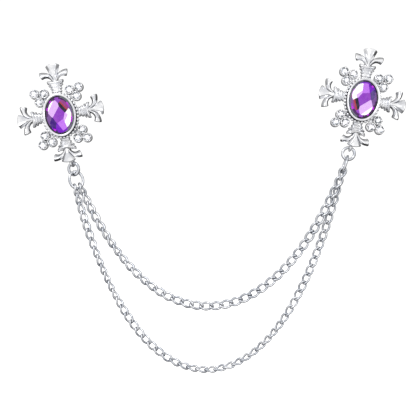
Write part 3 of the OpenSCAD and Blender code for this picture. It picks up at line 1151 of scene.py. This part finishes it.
@dataclass
class HangingEye:
    """The cast eye behind the bottom petal that the round ring hangs in."""

    station: Station
    drop: float = 19.6
    inward: float = 0.9
    hole_d: float = 1.9
    wire_d: float = 0.9
    back: float = 0.75

    def centre(self) -> Vector:
        """Its middle in the part's frame."""
        local = Vector((self.station.side * self.inward, self.back, -self.drop))
        return self.station.matrix() @ local

    def shape(self) -> Shape:
        """The eye, and a flat piece of its stem inside the petal.

        Returns:
            Both in the brooch's own frame.
        """
        s = self.station
        r = (self.hole_d + self.wire_d) / 2
        middle = Vector((s.side * self.inward, self.back, -self.drop))
        own_lean = s.side * s.pull - abs(s.lean) * s.side
        turn = (
            Matrix.Translation(middle)
            @ Matrix.Rotation(math.radians(-own_lean), 4, "Y")
            @ Matrix.Rotation(math.radians(s.ring_turn), 4, "Z")
        )
        loop = [Vector((0, r * math.cos(t), r * math.sin(t))) for t in turns(48)]
        shape = Shape().add(wire(loop, self.wire_d, 16), turn)
        half = self.wire_d / 2
        top = r - 0.1
        section = ((-1, -1.75), (-0.8, -2), (0.8, -2), (1, -1.75))
        heights = (top, top + 0.4, top + 0.9, top + 1.7)
        stem = [[middle + Vector((half * x, y, z)) for x, y in section] for z in heights]
        return shape.add(Shape().skin(stem))


# Stones


class Tone(Enum):
    """Tones on the stones' facets: the colour that the foil behind a stone throws back through its facets,
    together with painted reflections, highlights and shade.
    """

    WHITE = (0.98, 0.97, 0.99)
    BLUSH = (0.8, 0.64, 0.87)
    LILAC = (0.68, 0.4, 0.84)
    AMETHYST = (0.5, 0.2, 0.68)
    ORCHID = (0.52, 0.22, 0.68)
    ROSE = (0.53, 0.2, 0.48)
    VIOLET = (0.41, 0.02, 0.68)
    INDIGO = (0.2, 0.02, 0.42)
    MAGENTA = (0.7, 0.08, 0.8)
    PLUM = (0.25, 0.08, 0.32)
    SLATE = (0.09, 0.08, 0.14)
    RED_REFLECTION = (0.6, 0.2, 0.2)
    MAUVE = (0.42, 0.28, 0.52)
    PALE = (0.93, 0.94, 0.96)
    SILVER = (0.72, 0.74, 0.77)
    SMOKE = (0.42, 0.45, 0.46)
    DARK = (0.13, 0.14, 0.15)


def paint_facets(mesh: bpy.types.Mesh, tones: Sequence[Tone]) -> None:
    """Stores each face's tone, the stone's own colour together with painted light, for the stone finish.

    Args:
        mesh: The stone's mesh.
        tones: One tone for each face.
    """
    layer = mesh.color_attributes.new(TONE, "FLOAT_COLOR", "CORNER")
    for face, tone in zip(mesh.polygons, tones):
        for loop in face.loop_indices:
            layer.data[loop].color = to_linear(tone.value)
        face.use_smooth = False


class Diagonal(Enum):
    """The two slanting directions of the checkerboard cut."""

    FALLING = -1
    RISING = 1


@dataclass(frozen=True)
class Cell:
    """One crown facet of the checkerboard cut, by its place along the two diagonals."""

    falling: float
    rising: float
    tone: Tone


@dataclass(frozen=True)
class Band:
    """A strip of a crown facet with a painted tone of its own, from low to high along a diagonal."""

    cell: int
    along: Diagonal
    low: float
    high: float
    tone: Tone


# Numbers kept on a stone's faces: its side, its back, and the first of each row of rim facets
SIDE_FACE = -1
BACK_FACE = -2
FIRST_BREAK = 100
FIRST_EDGE = 200


@dataclass
class OvalStone:
    """Large oval stone with a checkerboard crown and a table, cut plane by plane."""

    bezel: Bezel
    girdle_at: float = 3.85
    girdle_t: float = 0.4
    crown_h: float = 1.5
    dome: float = 0.02
    slant: float = 34.0
    pattern_turn: float = 0.0
    turned: bool = False
    sides: int = 72
    rim_cuts: int = 36
    back_cuts: int = 12
    edge_slope: float = 0.85
    break_slope: float = 0.5
    back_slope: float = 1.15
    break_in: float = 0.75
    # Crown facets' tones are the amethyst's own shades, with painted highlights where a facet is white.
    cells: tuple[Cell, ...] = (
        Cell(0.2, -0.35, Tone.AMETHYST),
        Cell(-3.4, -0.1, Tone.BLUSH),
        Cell(-3.4, 5.9, Tone.ORCHID),
        Cell(-3.4, -5.6, Tone.MAUVE),
        Cell(0.2, 5.0, Tone.ROSE),
        Cell(-0.6, -5.4, Tone.INDIGO),
        Cell(4.6, 4.4, Tone.WHITE),
        Cell(4.6, 0.9, Tone.WHITE),
        Cell(3.2, -1.9, Tone.LILAC),
        Cell(2.9, -4.3, Tone.VIOLET),
    )
    # Bands paint tones inside single facets: slate and red are painted reflections of dark and red things,
    # white strips are painted highlights.
    bands: tuple[Band, ...] = (
        Band(4, Diagonal.RISING, 2.2, 3.55, Tone.SLATE),
        Band(4, Diagonal.RISING, 3.55, 4.1, Tone.RED_REFLECTION),
        Band(1, Diagonal.FALLING, -9.0, -4.5, Tone.WHITE),
        Band(2, Diagonal.FALLING, -9.0, -3.9, Tone.WHITE),
        Band(7, Diagonal.FALLING, 0.0, 3.3, Tone.BLUSH),
        Band(0, Diagonal.RISING, -9.0, -1.7, Tone.ORCHID),
    )
    rim: tuple[Tone, ...] = tuple(
        Tone[name]
        for name in (
            "MAUVE MAUVE ORCHID MAGENTA PLUM PLUM PLUM PLUM ORCHID ORCHID PLUM PLUM MAGENTA PLUM "
            "PLUM MAGENTA PLUM PLUM MAUVE MAUVE MAUVE INDIGO VIOLET MAGENTA INDIGO VIOLET VIOLET "
            "VIOLET VIOLET VIOLET MAUVE MAUVE PLUM MAGENTA MAGENTA ROSE"
        ).split()
    )

    @property
    def top(self) -> float:
        """Height of the girdle's upper edge."""
        return self.girdle_at + self.girdle_t

    def way(self, along: Diagonal) -> Vector:
        """Direction in which the places along a diagonal are counted."""
        a = math.radians(self.pattern_turn + along.value * self.slant)
        return Vector((math.cos(a), math.sin(a), 0))

    def facet(self, cell: Cell) -> tuple[Vector, Vector]:
        """Plane of one crown facet.

        Args:
            cell: The facet.

        Returns:
            A point of the plane and its outward normal.
        """
        fall, rise = self.way(Diagonal.FALLING), self.way(Diagonal.RISING)
        size = fall.x * rise.y - fall.y * rise.x
        at = Vector(
            (
                (cell.falling * rise.y - cell.rising * fall.y) / size,
                (cell.rising * fall.x - cell.falling * rise.x) / size,
                self.top + self.crown_h - self.dome * (cell.falling**2 + cell.rising**2),
            )
        )
        tilt = 2 * self.dome * (cell.falling * fall + cell.rising * rise)
        return at, (tilt + Vector((0, 0, 1))).normalized()

    def rim_facet(self, turn: float, inset: float, slope: float) -> tuple[Vector, Vector]:
        """Plane of a rim facet.

        Args:
            turn: Where it lies round the oval, in radians.
            inset: How far in from the edge it begins, 0 for the edge itself.
            slope: How steeply it rises from there.

        Returns:
            A point of the plane and its outward normal.
        """
        half_w, half_h = self.bezel.stone_w / 2, self.bezel.stone_h / 2
        edge = Vector((half_w * math.cos(turn), half_h * math.sin(turn), self.top + 0.03))
        out = Vector((math.cos(turn) / half_w, math.sin(turn) / half_h, 0)).normalized()
        at = edge + inset * Vector((-out.x, -out.y, self.edge_slope))
        return at, (out * slope + Vector((0, 0, 1))).normalized()

    def cut(self, bm: bmesh.types.BMesh, plane: tuple[Vector, Vector], number: int) -> None:
        """Grinds away what lies beyond a plane.

        Args:
            bm: The stone.
            plane: A point of the plane and its outward normal.
            number: Kept on the new face, to find its tone.
        """
        tag = bm.faces.layers.int["facet"]
        geom = [*bm.verts, *bm.edges, *bm.faces]
        found = bmesh.ops.bisect_plane(
            bm, geom=geom, plane_co=plane[0], plane_no=plane[1], clear_outer=True, dist=1e-5
        )
        edges = [e for e in found["geom_cut"] if isinstance(e, bmesh.types.BMEdge)]
        if len(edges) > 2:
            for face in bmesh.ops.edgeloop_fill(bm, edges=edges)["faces"]:
                face[tag] = number

    def blank(self) -> bmesh.types.BMesh:
        """The uncut stone, an upright oval cylinder.

        Returns:
            Its mesh, with a layer for the facets' numbers.
        """
        bm = bmesh.new()
        tag = bm.faces.layers.int.new("facet")
        rings = [
            [
                bm.verts.new((self.bezel.stone_w / 2 * math.cos(t), self.bezel.stone_h / 2 * math.sin(t), h))
                for t in turns(self.sides)
            ]
            for h in (1.1, self.top + self.crown_h + 1)
        ]
        for i in range(self.sides):
            j = (i + 1) % self.sides
            bm.faces.new([rings[0][i], rings[0][j], rings[1][j], rings[1][i]])
        bm.faces.new(list(reversed(rings[0])))
        bm.faces.new(rings[1])
        for face in bm.faces:
            face[tag] = SIDE_FACE
        return bm

    def mesh(self, name: str) -> bpy.types.Mesh:
        """Cuts the stone.

        Args:
            name: The mesh's name.

        Returns:
            The stone in the brooch's own frame, in metres, with its facets' tones, painted reflections,
            highlights and shade among them.
        """
        half_w, half_h = self.bezel.stone_w / 2, self.bezel.stone_h / 2
        bm = self.blank()
        tag = bm.faces.layers.int["facet"]
        for number, cell in enumerate(self.cells):
            self.cut(bm, self.facet(cell), number)
        for k, turn in enumerate(turns(self.rim_cuts, 0.5)):
            self.cut(bm, self.rim_facet(turn, self.break_in, self.break_slope), FIRST_BREAK + k)
        for k, turn in enumerate(turns(self.rim_cuts)):
            self.cut(bm, self.rim_facet(turn, 0.0, self.edge_slope), FIRST_EDGE + k)
        for t in turns(self.back_cuts):
            out = Vector((math.cos(t) / half_w, math.sin(t) / half_h, 0)).normalized()
            edge = Vector((half_w * math.cos(t), half_h * math.sin(t), self.girdle_at - 0.03))
            self.cut(bm, (edge, Vector((out.x, out.y, -self.back_slope)).normalized()), BACK_FACE)
        for band in self.bands:
            across = self.way(band.along)
            for place in (band.low, band.high):
                strip = [f for f in bm.faces if f[tag] == band.cell]
                geom = [*strip, *{e for f in strip for e in f.edges}, *{p for f in strip for p in f.verts}]
                at = across * place / across.length_squared
                bmesh.ops.bisect_plane(bm, geom=geom, plane_co=at, plane_no=across, dist=1e-5)
        bmesh.ops.recalc_face_normals(bm, faces=bm.faces)
        bm.normal_update()
        tones = [self.tone_of(face, tag) for face in bm.faces]
        mesh = bpy.data.meshes.new(name)
        bm.to_mesh(mesh)
        bm.free()
        paint_facets(mesh, tones)
        spin = Matrix.Rotation(math.pi if self.turned else 0.0, 4, "Z")
        front = Matrix.Rotation(math.pi / 2, 4, "X")
        mesh.transform(Matrix.Scale(MM, 4) @ front @ spin)
        return mesh

    def tone_of(self, face: bmesh.types.BMFace, tag: bmesh.types.BMLayerItem) -> Tone:
        """Painted tone of one facet.

        Args:
            face: The facet.
            tag: The layer that holds the facets' numbers.

        Returns:
            Its tone.
        """
        number = face[tag]
        middle = face.calc_center_median()
        if number >= FIRST_EDGE:
            # Painted shade of the lip on the steep edge ring: dark where x is below 1 mm, smoky grey beyond.
            return Tone.DARK if middle.x < 1.0 else Tone.SMOKE
        if number >= FIRST_BREAK:
            return self.rim[number - FIRST_BREAK]
        if number < 0:
            return Tone.PLUM
        for band in self.bands:
            if band.cell == number and band.low <= middle.dot(self.way(band.along)) < band.high:
                return band.tone
        return self.cells[number].tone


@dataclass
class SmallStones:
    """The twelve clear stones of a brooch.

    Each has a table, eight star facets, eight kites, sixteen breaks and sixteen back facets.
    """

    cluster: Cluster
    seed: int
    crown: float = 0.62
    pavilion: float = 0.85

    def one(self) -> tuple[list[Vector], list[list[int]]]:
        """Points and faces of one stone, its girdle's middle at the origin.

        Returns:
            The points in millimetres and the faces.
        """
        r, n = self.cluster.chip_d / 2, 8
        girdle = [r * flat(t) for t in turns(2 * n)]
        kites = [r * 0.8 * flat(t) + Vector((0, -self.crown * 0.55, 0)) for t in turns(n, 0.5)]
        table = [r * 0.52 * flat(t) + Vector((0, -self.crown, 0)) for t in turns(n)]
        tip = [Vector((0, self.pavilion, 0))]
        a, b, c = 0, 2 * n, 3 * n
        faces = [[c + k for k in reversed(range(n))]]
        for k in range(n):
            j = (k + 1) % n
            faces.append([c + k, c + j, b + k])
            faces.append([b + k, c + j, b + j, a + 2 * j])
            faces.append([b + k, a + 2 * j, a + 2 * k + 1])
            faces.append([a + 2 * k, b + k, a + 2 * k + 1])
            faces.append([4 * n, a + 2 * k, a + 2 * k + 1])
            faces.append([4 * n, a + 2 * k + 1, a + (2 * k + 2) % (2 * n)])
        return girdle + kites + table + tip, faces

    def mesh(self, name: str) -> bpy.types.Mesh:
        """Sets the twelve stones in their collets.

        Args:
            name: The mesh's name.

        Returns:
            The stones in the brooch's own frame, in metres, with painted highlights and reflections as their
            facets' tones.
        """
        rng = random.Random(self.seed)
        points, faces = self.one()
        shape, tones = Shape(), []
        height = self.cluster.floor_h + self.cluster.gap + self.pavilion
        for spot in self.cluster.spots():
            turn = Matrix.Rotation(rng.uniform(0, math.pi / 4), 4, "Y")
            stone = Shape()
            stone.points, stone.faces = points, faces
            shape.add(stone, Matrix.Translation(spot + Vector((0, -height, 0))) @ turn)
            # The clear stones have no colour of their own: the white table and the random pale, white,
            # silver, smoke and dark facet tones are painted highlights and reflections.
            tones.append(Tone.WHITE)
            for _ in range((len(faces) - 1) // 6):
                tones.append(rng.choice((Tone.PALE, Tone.WHITE, Tone.SILVER, Tone.SMOKE)))
                tones.append(rng.choice((Tone.WHITE, Tone.SILVER, Tone.SMOKE)))
                tones.append(rng.choice((Tone.PALE, Tone.SILVER, Tone.SMOKE, Tone.DARK)))
                tones.append(rng.choice((Tone.WHITE, Tone.SMOKE, Tone.DARK)))
                tones.extend((Tone.SMOKE, Tone.SMOKE))
        mesh = bpy.data.meshes.new(name)
        mesh.from_pydata([p * MM for p in shape.points], [], shape.faces)
        paint_facets(mesh, tones)
        bm = bmesh.new()
        bm.from_mesh(mesh)
        bmesh.ops.recalc_face_normals(bm, faces=bm.faces)
        bm.to_mesh(mesh)
        bm.free()
        return mesh


@dataclass
class Brooch:
    """One brooch: its casting, its stones and its pin."""

    station: Station
    bezel: Bezel = field(default_factory=Bezel)

    def arms(self) -> list[Arm]:
        """The four arms: up, right, down, left."""
        b = self.bezel
        flange_x, flange_z = b.stone_w / 2 + b.flange_r, b.stone_h / 2 + b.flange_r
        table = (
            (0.0, flange_z - ARMS_UP, 1.19, 1.04, 1.19),
            (90.0, flange_x, 1.0, 1.0, 1.0),
            (180.0, flange_z + ARMS_UP, 0.96, 1.16, 0.9),
            (270.0, flange_x, 1.0, 1.0, 1.0),
        )
        return [Arm(turn, start, 4.0 * n, 6.8 * c, 5.6 * p + 0.75) for turn, start, n, c, p in table]

    def build(self) -> None:
        """Builds and dresses every piece of the brooch."""
        s = self.station
        casting = [s.name("casting")]
        cluster = Cluster(self.bezel)
        cup = self.bezel.shape().mesh(s.name("bezel_cup"), 38.0)
        beads = BeadBorder(self.bezel).mesh(s.name("bead_border"))
        arms = join_meshes(s.name("arms"), [m for arm in self.arms() for m in arm.meshes(s.name("arm"))])
        sockets = join_meshes(
            s.name("clusters"),
            [cluster.collets().mesh("collets", 50.0), cluster.stems().mesh("stems", 50.0)],
        )
        claws = cluster.claw_mesh(s.name("claws"))
        eye = HangingEye(s).shape().mesh(s.name("eye"), 40.0)
        right = s.side < 0
        cut = OvalStone(self.bezel, pattern_turn=-12.0 if right else 0.0, turned=right)
        stone = cut.mesh(s.name("oval_stone"))
        chips = SmallStones(cluster, seed=7 if s.side > 0 else 19).mesh(s.name("small_stones"))
        chip_nodes = [f"{s.hand}_chip_{n:02d}" for n in range(1, 13)]
        for mesh, finish, nodes in (
            (cup, Finish.CAST, casting),
            (beads, Finish.CAST, casting),
            (arms, Finish.CAST, casting),
            (sockets, Finish.CAST, casting),
            (claws, Finish.CAST, casting),
            (eye, Finish.CAST, casting),
            (stone, Finish.VIOLET, [s.name("stone")]),
            (chips, Finish.CLEAR, chip_nodes),
        ):
            mesh.transform(s.metres())
            place_piece(mesh.name.split(".")[0], mesh, finish, nodes)
        dress_node(s.name("pin"), Finish.STEEL)


def dress_node(node: str, finish: Finish) -> None:
    """Gives a CAD node that stays in sight its finish.

    Args:
        node: The node's name.
        finish: Its finish.
    """
    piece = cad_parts[node]
    for slot in piece.material_slots:
        slot.material = finish.material()
    if not piece.material_slots:
        piece.data.materials.append(finish.material())
    log.info("%s: CAD node, %s", node, finish.slot)


# Rings and chains


@dataclass
class Rings:
    """The round ring in a brooch's eye and the joining link below it."""

    station: Station
    ring_od: float = 6.2
    ring_d: float = 1.25
    joiner_len: float = 8.2
    joiner_w: float = 7.1
    joiner_d: float = 1.1
    gap: float = 0.16
    split_at: float = 20.0

    @property
    def ring_r(self) -> float:
        """Radius of the round ring's centre line."""
        return (self.ring_od - self.ring_d) / 2

    def ring_mid(self) -> Vector:
        """Middle of the round ring."""
        eye = HangingEye(self.station)
        drop = self.ring_r + (eye.hole_d - self.ring_d) / 2 - self.gap
        return eye.centre() + drop * self.station.pull_dir()

    def joiner_mid(self) -> Vector:
        """Middle of the joining link."""
        half = (self.joiner_len - self.joiner_d) / 2
        drop = self.ring_r - (self.ring_d + self.joiner_d) / 2 - self.gap + half
        return self.ring_mid() + drop * self.station.pull_dir()

    def strand_end(self, off: float) -> Vector:
        """Where a strand's end lies on the joining link, off to one side of its middle."""
        half, side = (self.joiner_len - self.joiner_d) / 2, (self.joiner_w - self.joiner_d) / 2
        s = self.station
        down = half * math.sqrt(1 - (off / side) ** 2)
        return self.joiner_mid() + down * s.pull_dir() + off * s.cross_dir()

    def round_ring(self) -> Shape:
        """The round ring, with the fine groove of its split.

        Returns:
            The closed ring.
        """
        s = self.station
        turn = (
            Matrix.Translation(self.ring_mid())
            @ Matrix.Rotation(math.radians(-s.side * s.pull), 4, "Y")
            @ Matrix.Rotation(math.radians(s.ring_turn), 4, "Z")
        )
        split = math.radians(90 - s.side * self.split_at)
        half_gap = 0.05 / self.ring_r
        groove = [split + g * half_gap for g in (-1.6, -1, -0.4, 0.4, 1, 1.6)]
        marks = sorted([t + 0.01 for t in turns(96)] + groove)
        loop = [self.ring_r * flat(t) for t in marks]

        def thick(k: int) -> float:
            """Wire's thickness at a point of the loop, less in the groove."""
            near = abs(marks[k] - split) / half_gap
            return self.ring_d * (1 - 0.35 * (1 - smooth_step(0.3, 1.1, near)))

        return Shape().add(wire(loop, thick, 20), turn)

    def joining_link(self) -> Shape:
        """The oval joining link.

        Returns:
            The closed link.
        """
        half, side = (self.joiner_len - self.joiner_d) / 2, (self.joiner_w - self.joiner_d) / 2
        s = self.station
        loop = [
            self.joiner_mid() - half * math.cos(t) * s.pull_dir() + side * math.sin(t) * s.cross_dir()
            for t in turns(80)
        ]
        return wire(loop, self.joiner_d, 18)

    def build(self) -> None:
        """Builds and dresses both."""
        s = self.station
        for piece, shape, node in (
            ("round_ring", self.round_ring(), "ring"),
            ("joining_link", self.joining_link(), "joiner"),
        ):
            mesh = shape.mesh(s.name(piece), 60.0)
            place_piece(s.name(piece), mesh, Finish.WIRE, [s.name(node)])


@dataclass(frozen=True)
class Sag:
    """Curve of a hanging strand of a given length between two points."""

    start: Vector
    end: Vector
    length: float

    def shape(self) -> tuple[float, float, float, float]:
        """Solves the curve.

        Returns:
            Its width factor, lowest x, base height and the length before the lowest point.
        """
        h, v = self.end.x - self.start.x, self.end.z - self.start.z
        ratio = math.sqrt(self.length**2 - v * v) / h
        b = 3.0
        for _ in range(40):
            b -= (math.sinh(b) / b - ratio) * b * b / (b * math.cosh(b) - math.sinh(b))
        a = h / 2 / b
        x0 = (self.start.x + self.end.x) / 2 - a * math.log((self.length + v) / (self.length - v)) / 2
        base = self.start.z - a * math.cosh((self.start.x - x0) / a)
        return a, x0, base, a * math.sinh((x0 - self.start.x) / a)

    def at(self, s: float) -> tuple[Vector, float]:
        """Point and slope at a length along the curve.

        Args:
            s: Length from the start.

        Returns:
            The point and the slope in radians.
        """
        a, x0, base, before = self.shape()
        x = x0 + a * math.asinh((s - before) / a)
        y = self.start.y + (self.end.y - self.start.y) * s / self.length
        return Vector((x, y, base + a * math.cosh((x - x0) / a))), math.atan((s - before) / a)


@dataclass
class CurbChain:
    """One strand of twisted curb links, each a copy of the same link.

    Rolls are (share of the strand, degrees) rows, 0 for a link that faces the front. The wire is
    shown thicker by swell than the links' places are worked out with.
    """

    name: str
    node: str
    links: int
    pitch: float
    link_w: float
    wire_d: float
    off: float
    rolls: tuple[tuple[float, float], ...]
    slack: float = 0.3
    end_slack: float = 0.65
    start_turn: float = 0.0
    twist: float = 50.0
    link_sides: int = 28
    wire_sides: int = 8
    swell: float = 1.3

    @property
    def link_len(self) -> float:
        """Length of a link between the middles of its two end bends."""
        return self.pitch + self.wire_d + self.slack

    def end_roll(self, station: Station, slope: float, sign: int) -> float:
        """Roll that stands an end link square across the joining link.

        Args:
            station: The brooch at that end.
            slope: The strand's slope there, in radians.
            sign: +1 at the start, -1 at the end.

        Returns:
            The roll in degrees.
        """
        across = station.cross_dir()
        up = Vector((-math.sin(slope), 0, math.cos(slope)))
        roll = math.degrees(math.atan2(-across.dot(up), -across.y)) + sign * self.twist
        return roll - 180 * math.floor(roll / 180 + 0.5)

    def stations(self) -> list[tuple[Vector, Matrix]]:
        """Where every link stands.

        Returns:
            For each link its middle and its turn.
        """
        left, right = Rings(LEFT), Rings(RIGHT)
        lead = self.link_len / 2 - (self.wire_d + left.joiner_d) / 2 - self.end_slack
        total = 2 * lead + (self.links - 1) * self.pitch
        sag = Sag(left.strand_end(self.off), right.strand_end(-self.off), total)
        table = (
            (0.0, self.end_roll(LEFT, sag.at(0.0)[1], 1) + self.start_turn),
            *self.rolls,
            (1.0, self.end_roll(RIGHT, sag.at(total)[1], -1)),
        )
        found = []
        for i in range(self.links):
            s = lead + i * self.pitch
            at, slope = sag.at(s)
            share = s / total
            roll = next(
                va + (vb - va) * (share - a) / (b - a)
                for (a, va), (b, vb) in zip(table, table[1:])
                if share <= b
            )
            r = math.radians(roll)
            along = Vector((math.cos(slope), 0, math.sin(slope)))
            up = Vector((-math.sin(slope), 0, math.cos(slope)))
            fore = Vector((0, -1, 0))
            across = math.cos(r) * up + math.sin(r) * fore
            out = math.cos(r) * fore - math.sin(r) * up
            found.append((at, Matrix((along, across, out)).transposed()))
        return found

    def mesh(self) -> bpy.types.Mesh:
        """Grows the links on their points with geometry nodes.

        Returns:
            The strand's mesh, in metres.
        """
        spots = self.stations()
        base = bpy.data.meshes.new(self.name)
        base.from_pydata([at * MM for at, _ in spots], [], [])
        laid = base.attributes.new(TURN, "FLOAT_VECTOR", "POINT")
        for row, (_, turn) in zip(laid.data, spots):
            row.vector = turn.to_euler("XYZ")
        g = GeometryGraph(
            self.name,
            {
                "Half Length": self.link_len / 2 * MM,
                "Half Width": (self.link_w - self.wire_d) / 2 * MM,
                "Wire Radius": self.wire_d * self.swell / 2 * MM,
                "Twist": math.radians(self.twist),
                "Link Sides": self.link_sides,
                "Wire Sides": self.wire_sides,
            },
        )
        turn = (g.index() + 0.5) / g.size("Link Sides") * (2 * math.pi)
        reach = g.size("Half Width") * turn.sin()
        lay = g.size("Twist") * turn.cos()
        line = g.vector(g.size("Half Length") * turn.cos(), reach * lay.cos(), reach * lay.sin())
        loop = g.move(g.circle(g.size("Link Sides"), 1.0), Position=line)
        section = g.circle(g.size("Wire Sides"), g.size("Wire Radius"))
        link = g.node("GeometryNodeCurveToMesh", {"Curve": loop, "Profile Curve": section})
        turned = g.node("GeometryNodeInputNamedAttribute", {"Name": TURN}, data_type="FLOAT_VECTOR")
        points, rotation = g.value(g.given, "Geometry"), g.value(turned, "Attribute")
        g.finish(points, link, Finish.WIRE.material(), Rotation=rotation)
        return g.grow(base)

    def build(self) -> None:
        """Builds and dresses the strand."""
        place_piece(self.name, self.mesh(), Finish.WIRE, [self.node])


# The studio


@dataclass
class Studio:
    """Pale floor, soft light and the camera at the photograph's angle."""

    camera_at: Point = (60.7, -309.5, -38.5)
    camera_angle: float = 31.4
    floor_at: float = -126.0
    floor_half: float = 1500.0
    lamps: tuple[tuple[str, Point, float, float], ...] = (
        ("key", (-160.0, -330.0, 260.0), 170.0, 0.35),
        ("fill", (330.0, -300.0, 60.0), 120.0, 0.1),
    )
    aim: Point = (62.0, -4.0, -40.0)
    key_way: Point = (-0.2, -0.8, 0.5)
    darkest: float = 0.055
    brightest: float = 0.91
    behind: float = 0.65
    backdrop: float = 1.1

    def camera(self) -> None:
        """Sets up the camera."""
        data = bpy.data.cameras.new("camera")
        data.sensor_fit = "HORIZONTAL"
        data.lens = data.sensor_width / 2 / math.tan(math.radians(self.camera_angle) / 2)
        data.clip_start, data.clip_end = 0.01, 20.0
        camera = add_object("camera", data)
        camera.location = Vector(self.camera_at) * MM
        camera.rotation_euler = (math.pi / 2, 0, 0)
        bpy.context.scene.camera = camera
        bpy.context.scene.view_settings.view_transform = "Standard"

    def floor(self) -> None:
        """Lays the pale floor."""
        half, height = self.floor_half * MM, self.floor_at * MM
        corners = [(x * half, y * half, height) for x, y in ((-1, -1), (1, -1), (1, 1), (-1, 1))]
        mesh = bpy.data.meshes.new("floor")
        mesh.from_pydata(corners, [], [[0, 1, 2, 3]])
        mesh.materials.append(PaperFinish().material())
        piece = add_object("floor", mesh)
        piece.visible_glossy = False

    def world(self) -> None:
        """Lights the tent: white towards the key, dark below and to the right, grey straight behind."""
        world = bpy.data.worlds.new("tent")
        world.use_nodes = True
        bpy.context.scene.world = world
        g = Graph(world.node_tree)
        way = g.node("ShaderNodeSeparateXYZ", {0: g.value(g.node("ShaderNodeTexCoord"), "Generated")})
        x, y, z = (g.value(way, axis) for axis in "XYZ")
        to_key = x * self.key_way[0] + y * self.key_way[1] + z * self.key_way[2]
        bright = to_key.ramp(-0.65, 0.75) + y.ramp(0.7, 0.95, 0.0, self.behind)
        light = bright * self.brightest + self.darkest
        shine = g.node("ShaderNodeBackground", {"Color": (1, 1, 1, 1), "Strength": light})
        plain = g.node("ShaderNodeBackground", {"Color": (1, 1, 1, 1), "Strength": self.backdrop})
        seen = g.value(g.node("ShaderNodeLightPath"), "Is Camera Ray")
        mixed = g.node("ShaderNodeMixShader", {0: seen, 1: shine, 2: plain})
        g.node("ShaderNodeOutputWorld", {"Surface": mixed})

    def lights(self) -> None:
        """Hangs the soft lamps."""
        for name, at, size, power in self.lamps:
            data = bpy.data.lights.new(name, "AREA")
            data.energy = power
            data.size = size * MM
            lamp = add_object(name, data)
            lamp.location = Vector(at) * MM
            lamp.rotation_euler = (Vector(self.aim) - Vector(at)).to_track_quat("-Z", "Y").to_euler()

    def build(self) -> None:
        """Sets up the whole studio."""
        self.camera()
        self.floor()
        self.world()
        self.lights()
        log.info("studio: camera, floor and %d lamps", len(self.lamps))


UPPER = CurbChain(
    "upper_curb_chain",
    "upper_chain",
    links=39,
    pitch=4.15,
    link_w=3.7,
    wire_d=0.8,
    off=1.3,
    rolls=(
        (0.034, -54), (0.06, -44), (0.085, -36), (0.13, -58), (0.2, -62), (0.26, -36),
        (0.3, -60), (0.36, -18), (0.41, -34), (0.46, 0), (0.84, 0),
    ),
)
LOWER = CurbChain(
    "lower_curb_chain",
    "lower_chain",
    links=54,
    pitch=3.83,
    link_w=3.37,
    wire_d=0.72,
    off=-1.28,
    rolls=(
        (0.025, -62), (0.043, -48), (0.062, -34), (0.1, -24), (0.14, -60), (0.23, -66),
        (0.285, -8), (0.385, 0), (0.425, -60), (0.64, -60), (0.8, 0), (0.85, 0),
    ),
    start_turn=-14.0,
)


def main() -> None:
    """Builds the studio, both brooches, their rings and both chains."""
    logging.basicConfig(level=logging.INFO, format="%(name)s: %(message)s")
    Studio().build()
    for station in (LEFT, RIGHT):
        Brooch(station).build()
        Rings(station).build()
    for chain in (UPPER, LOWER):
        chain.build()


if __name__ == "__main__":
    main()
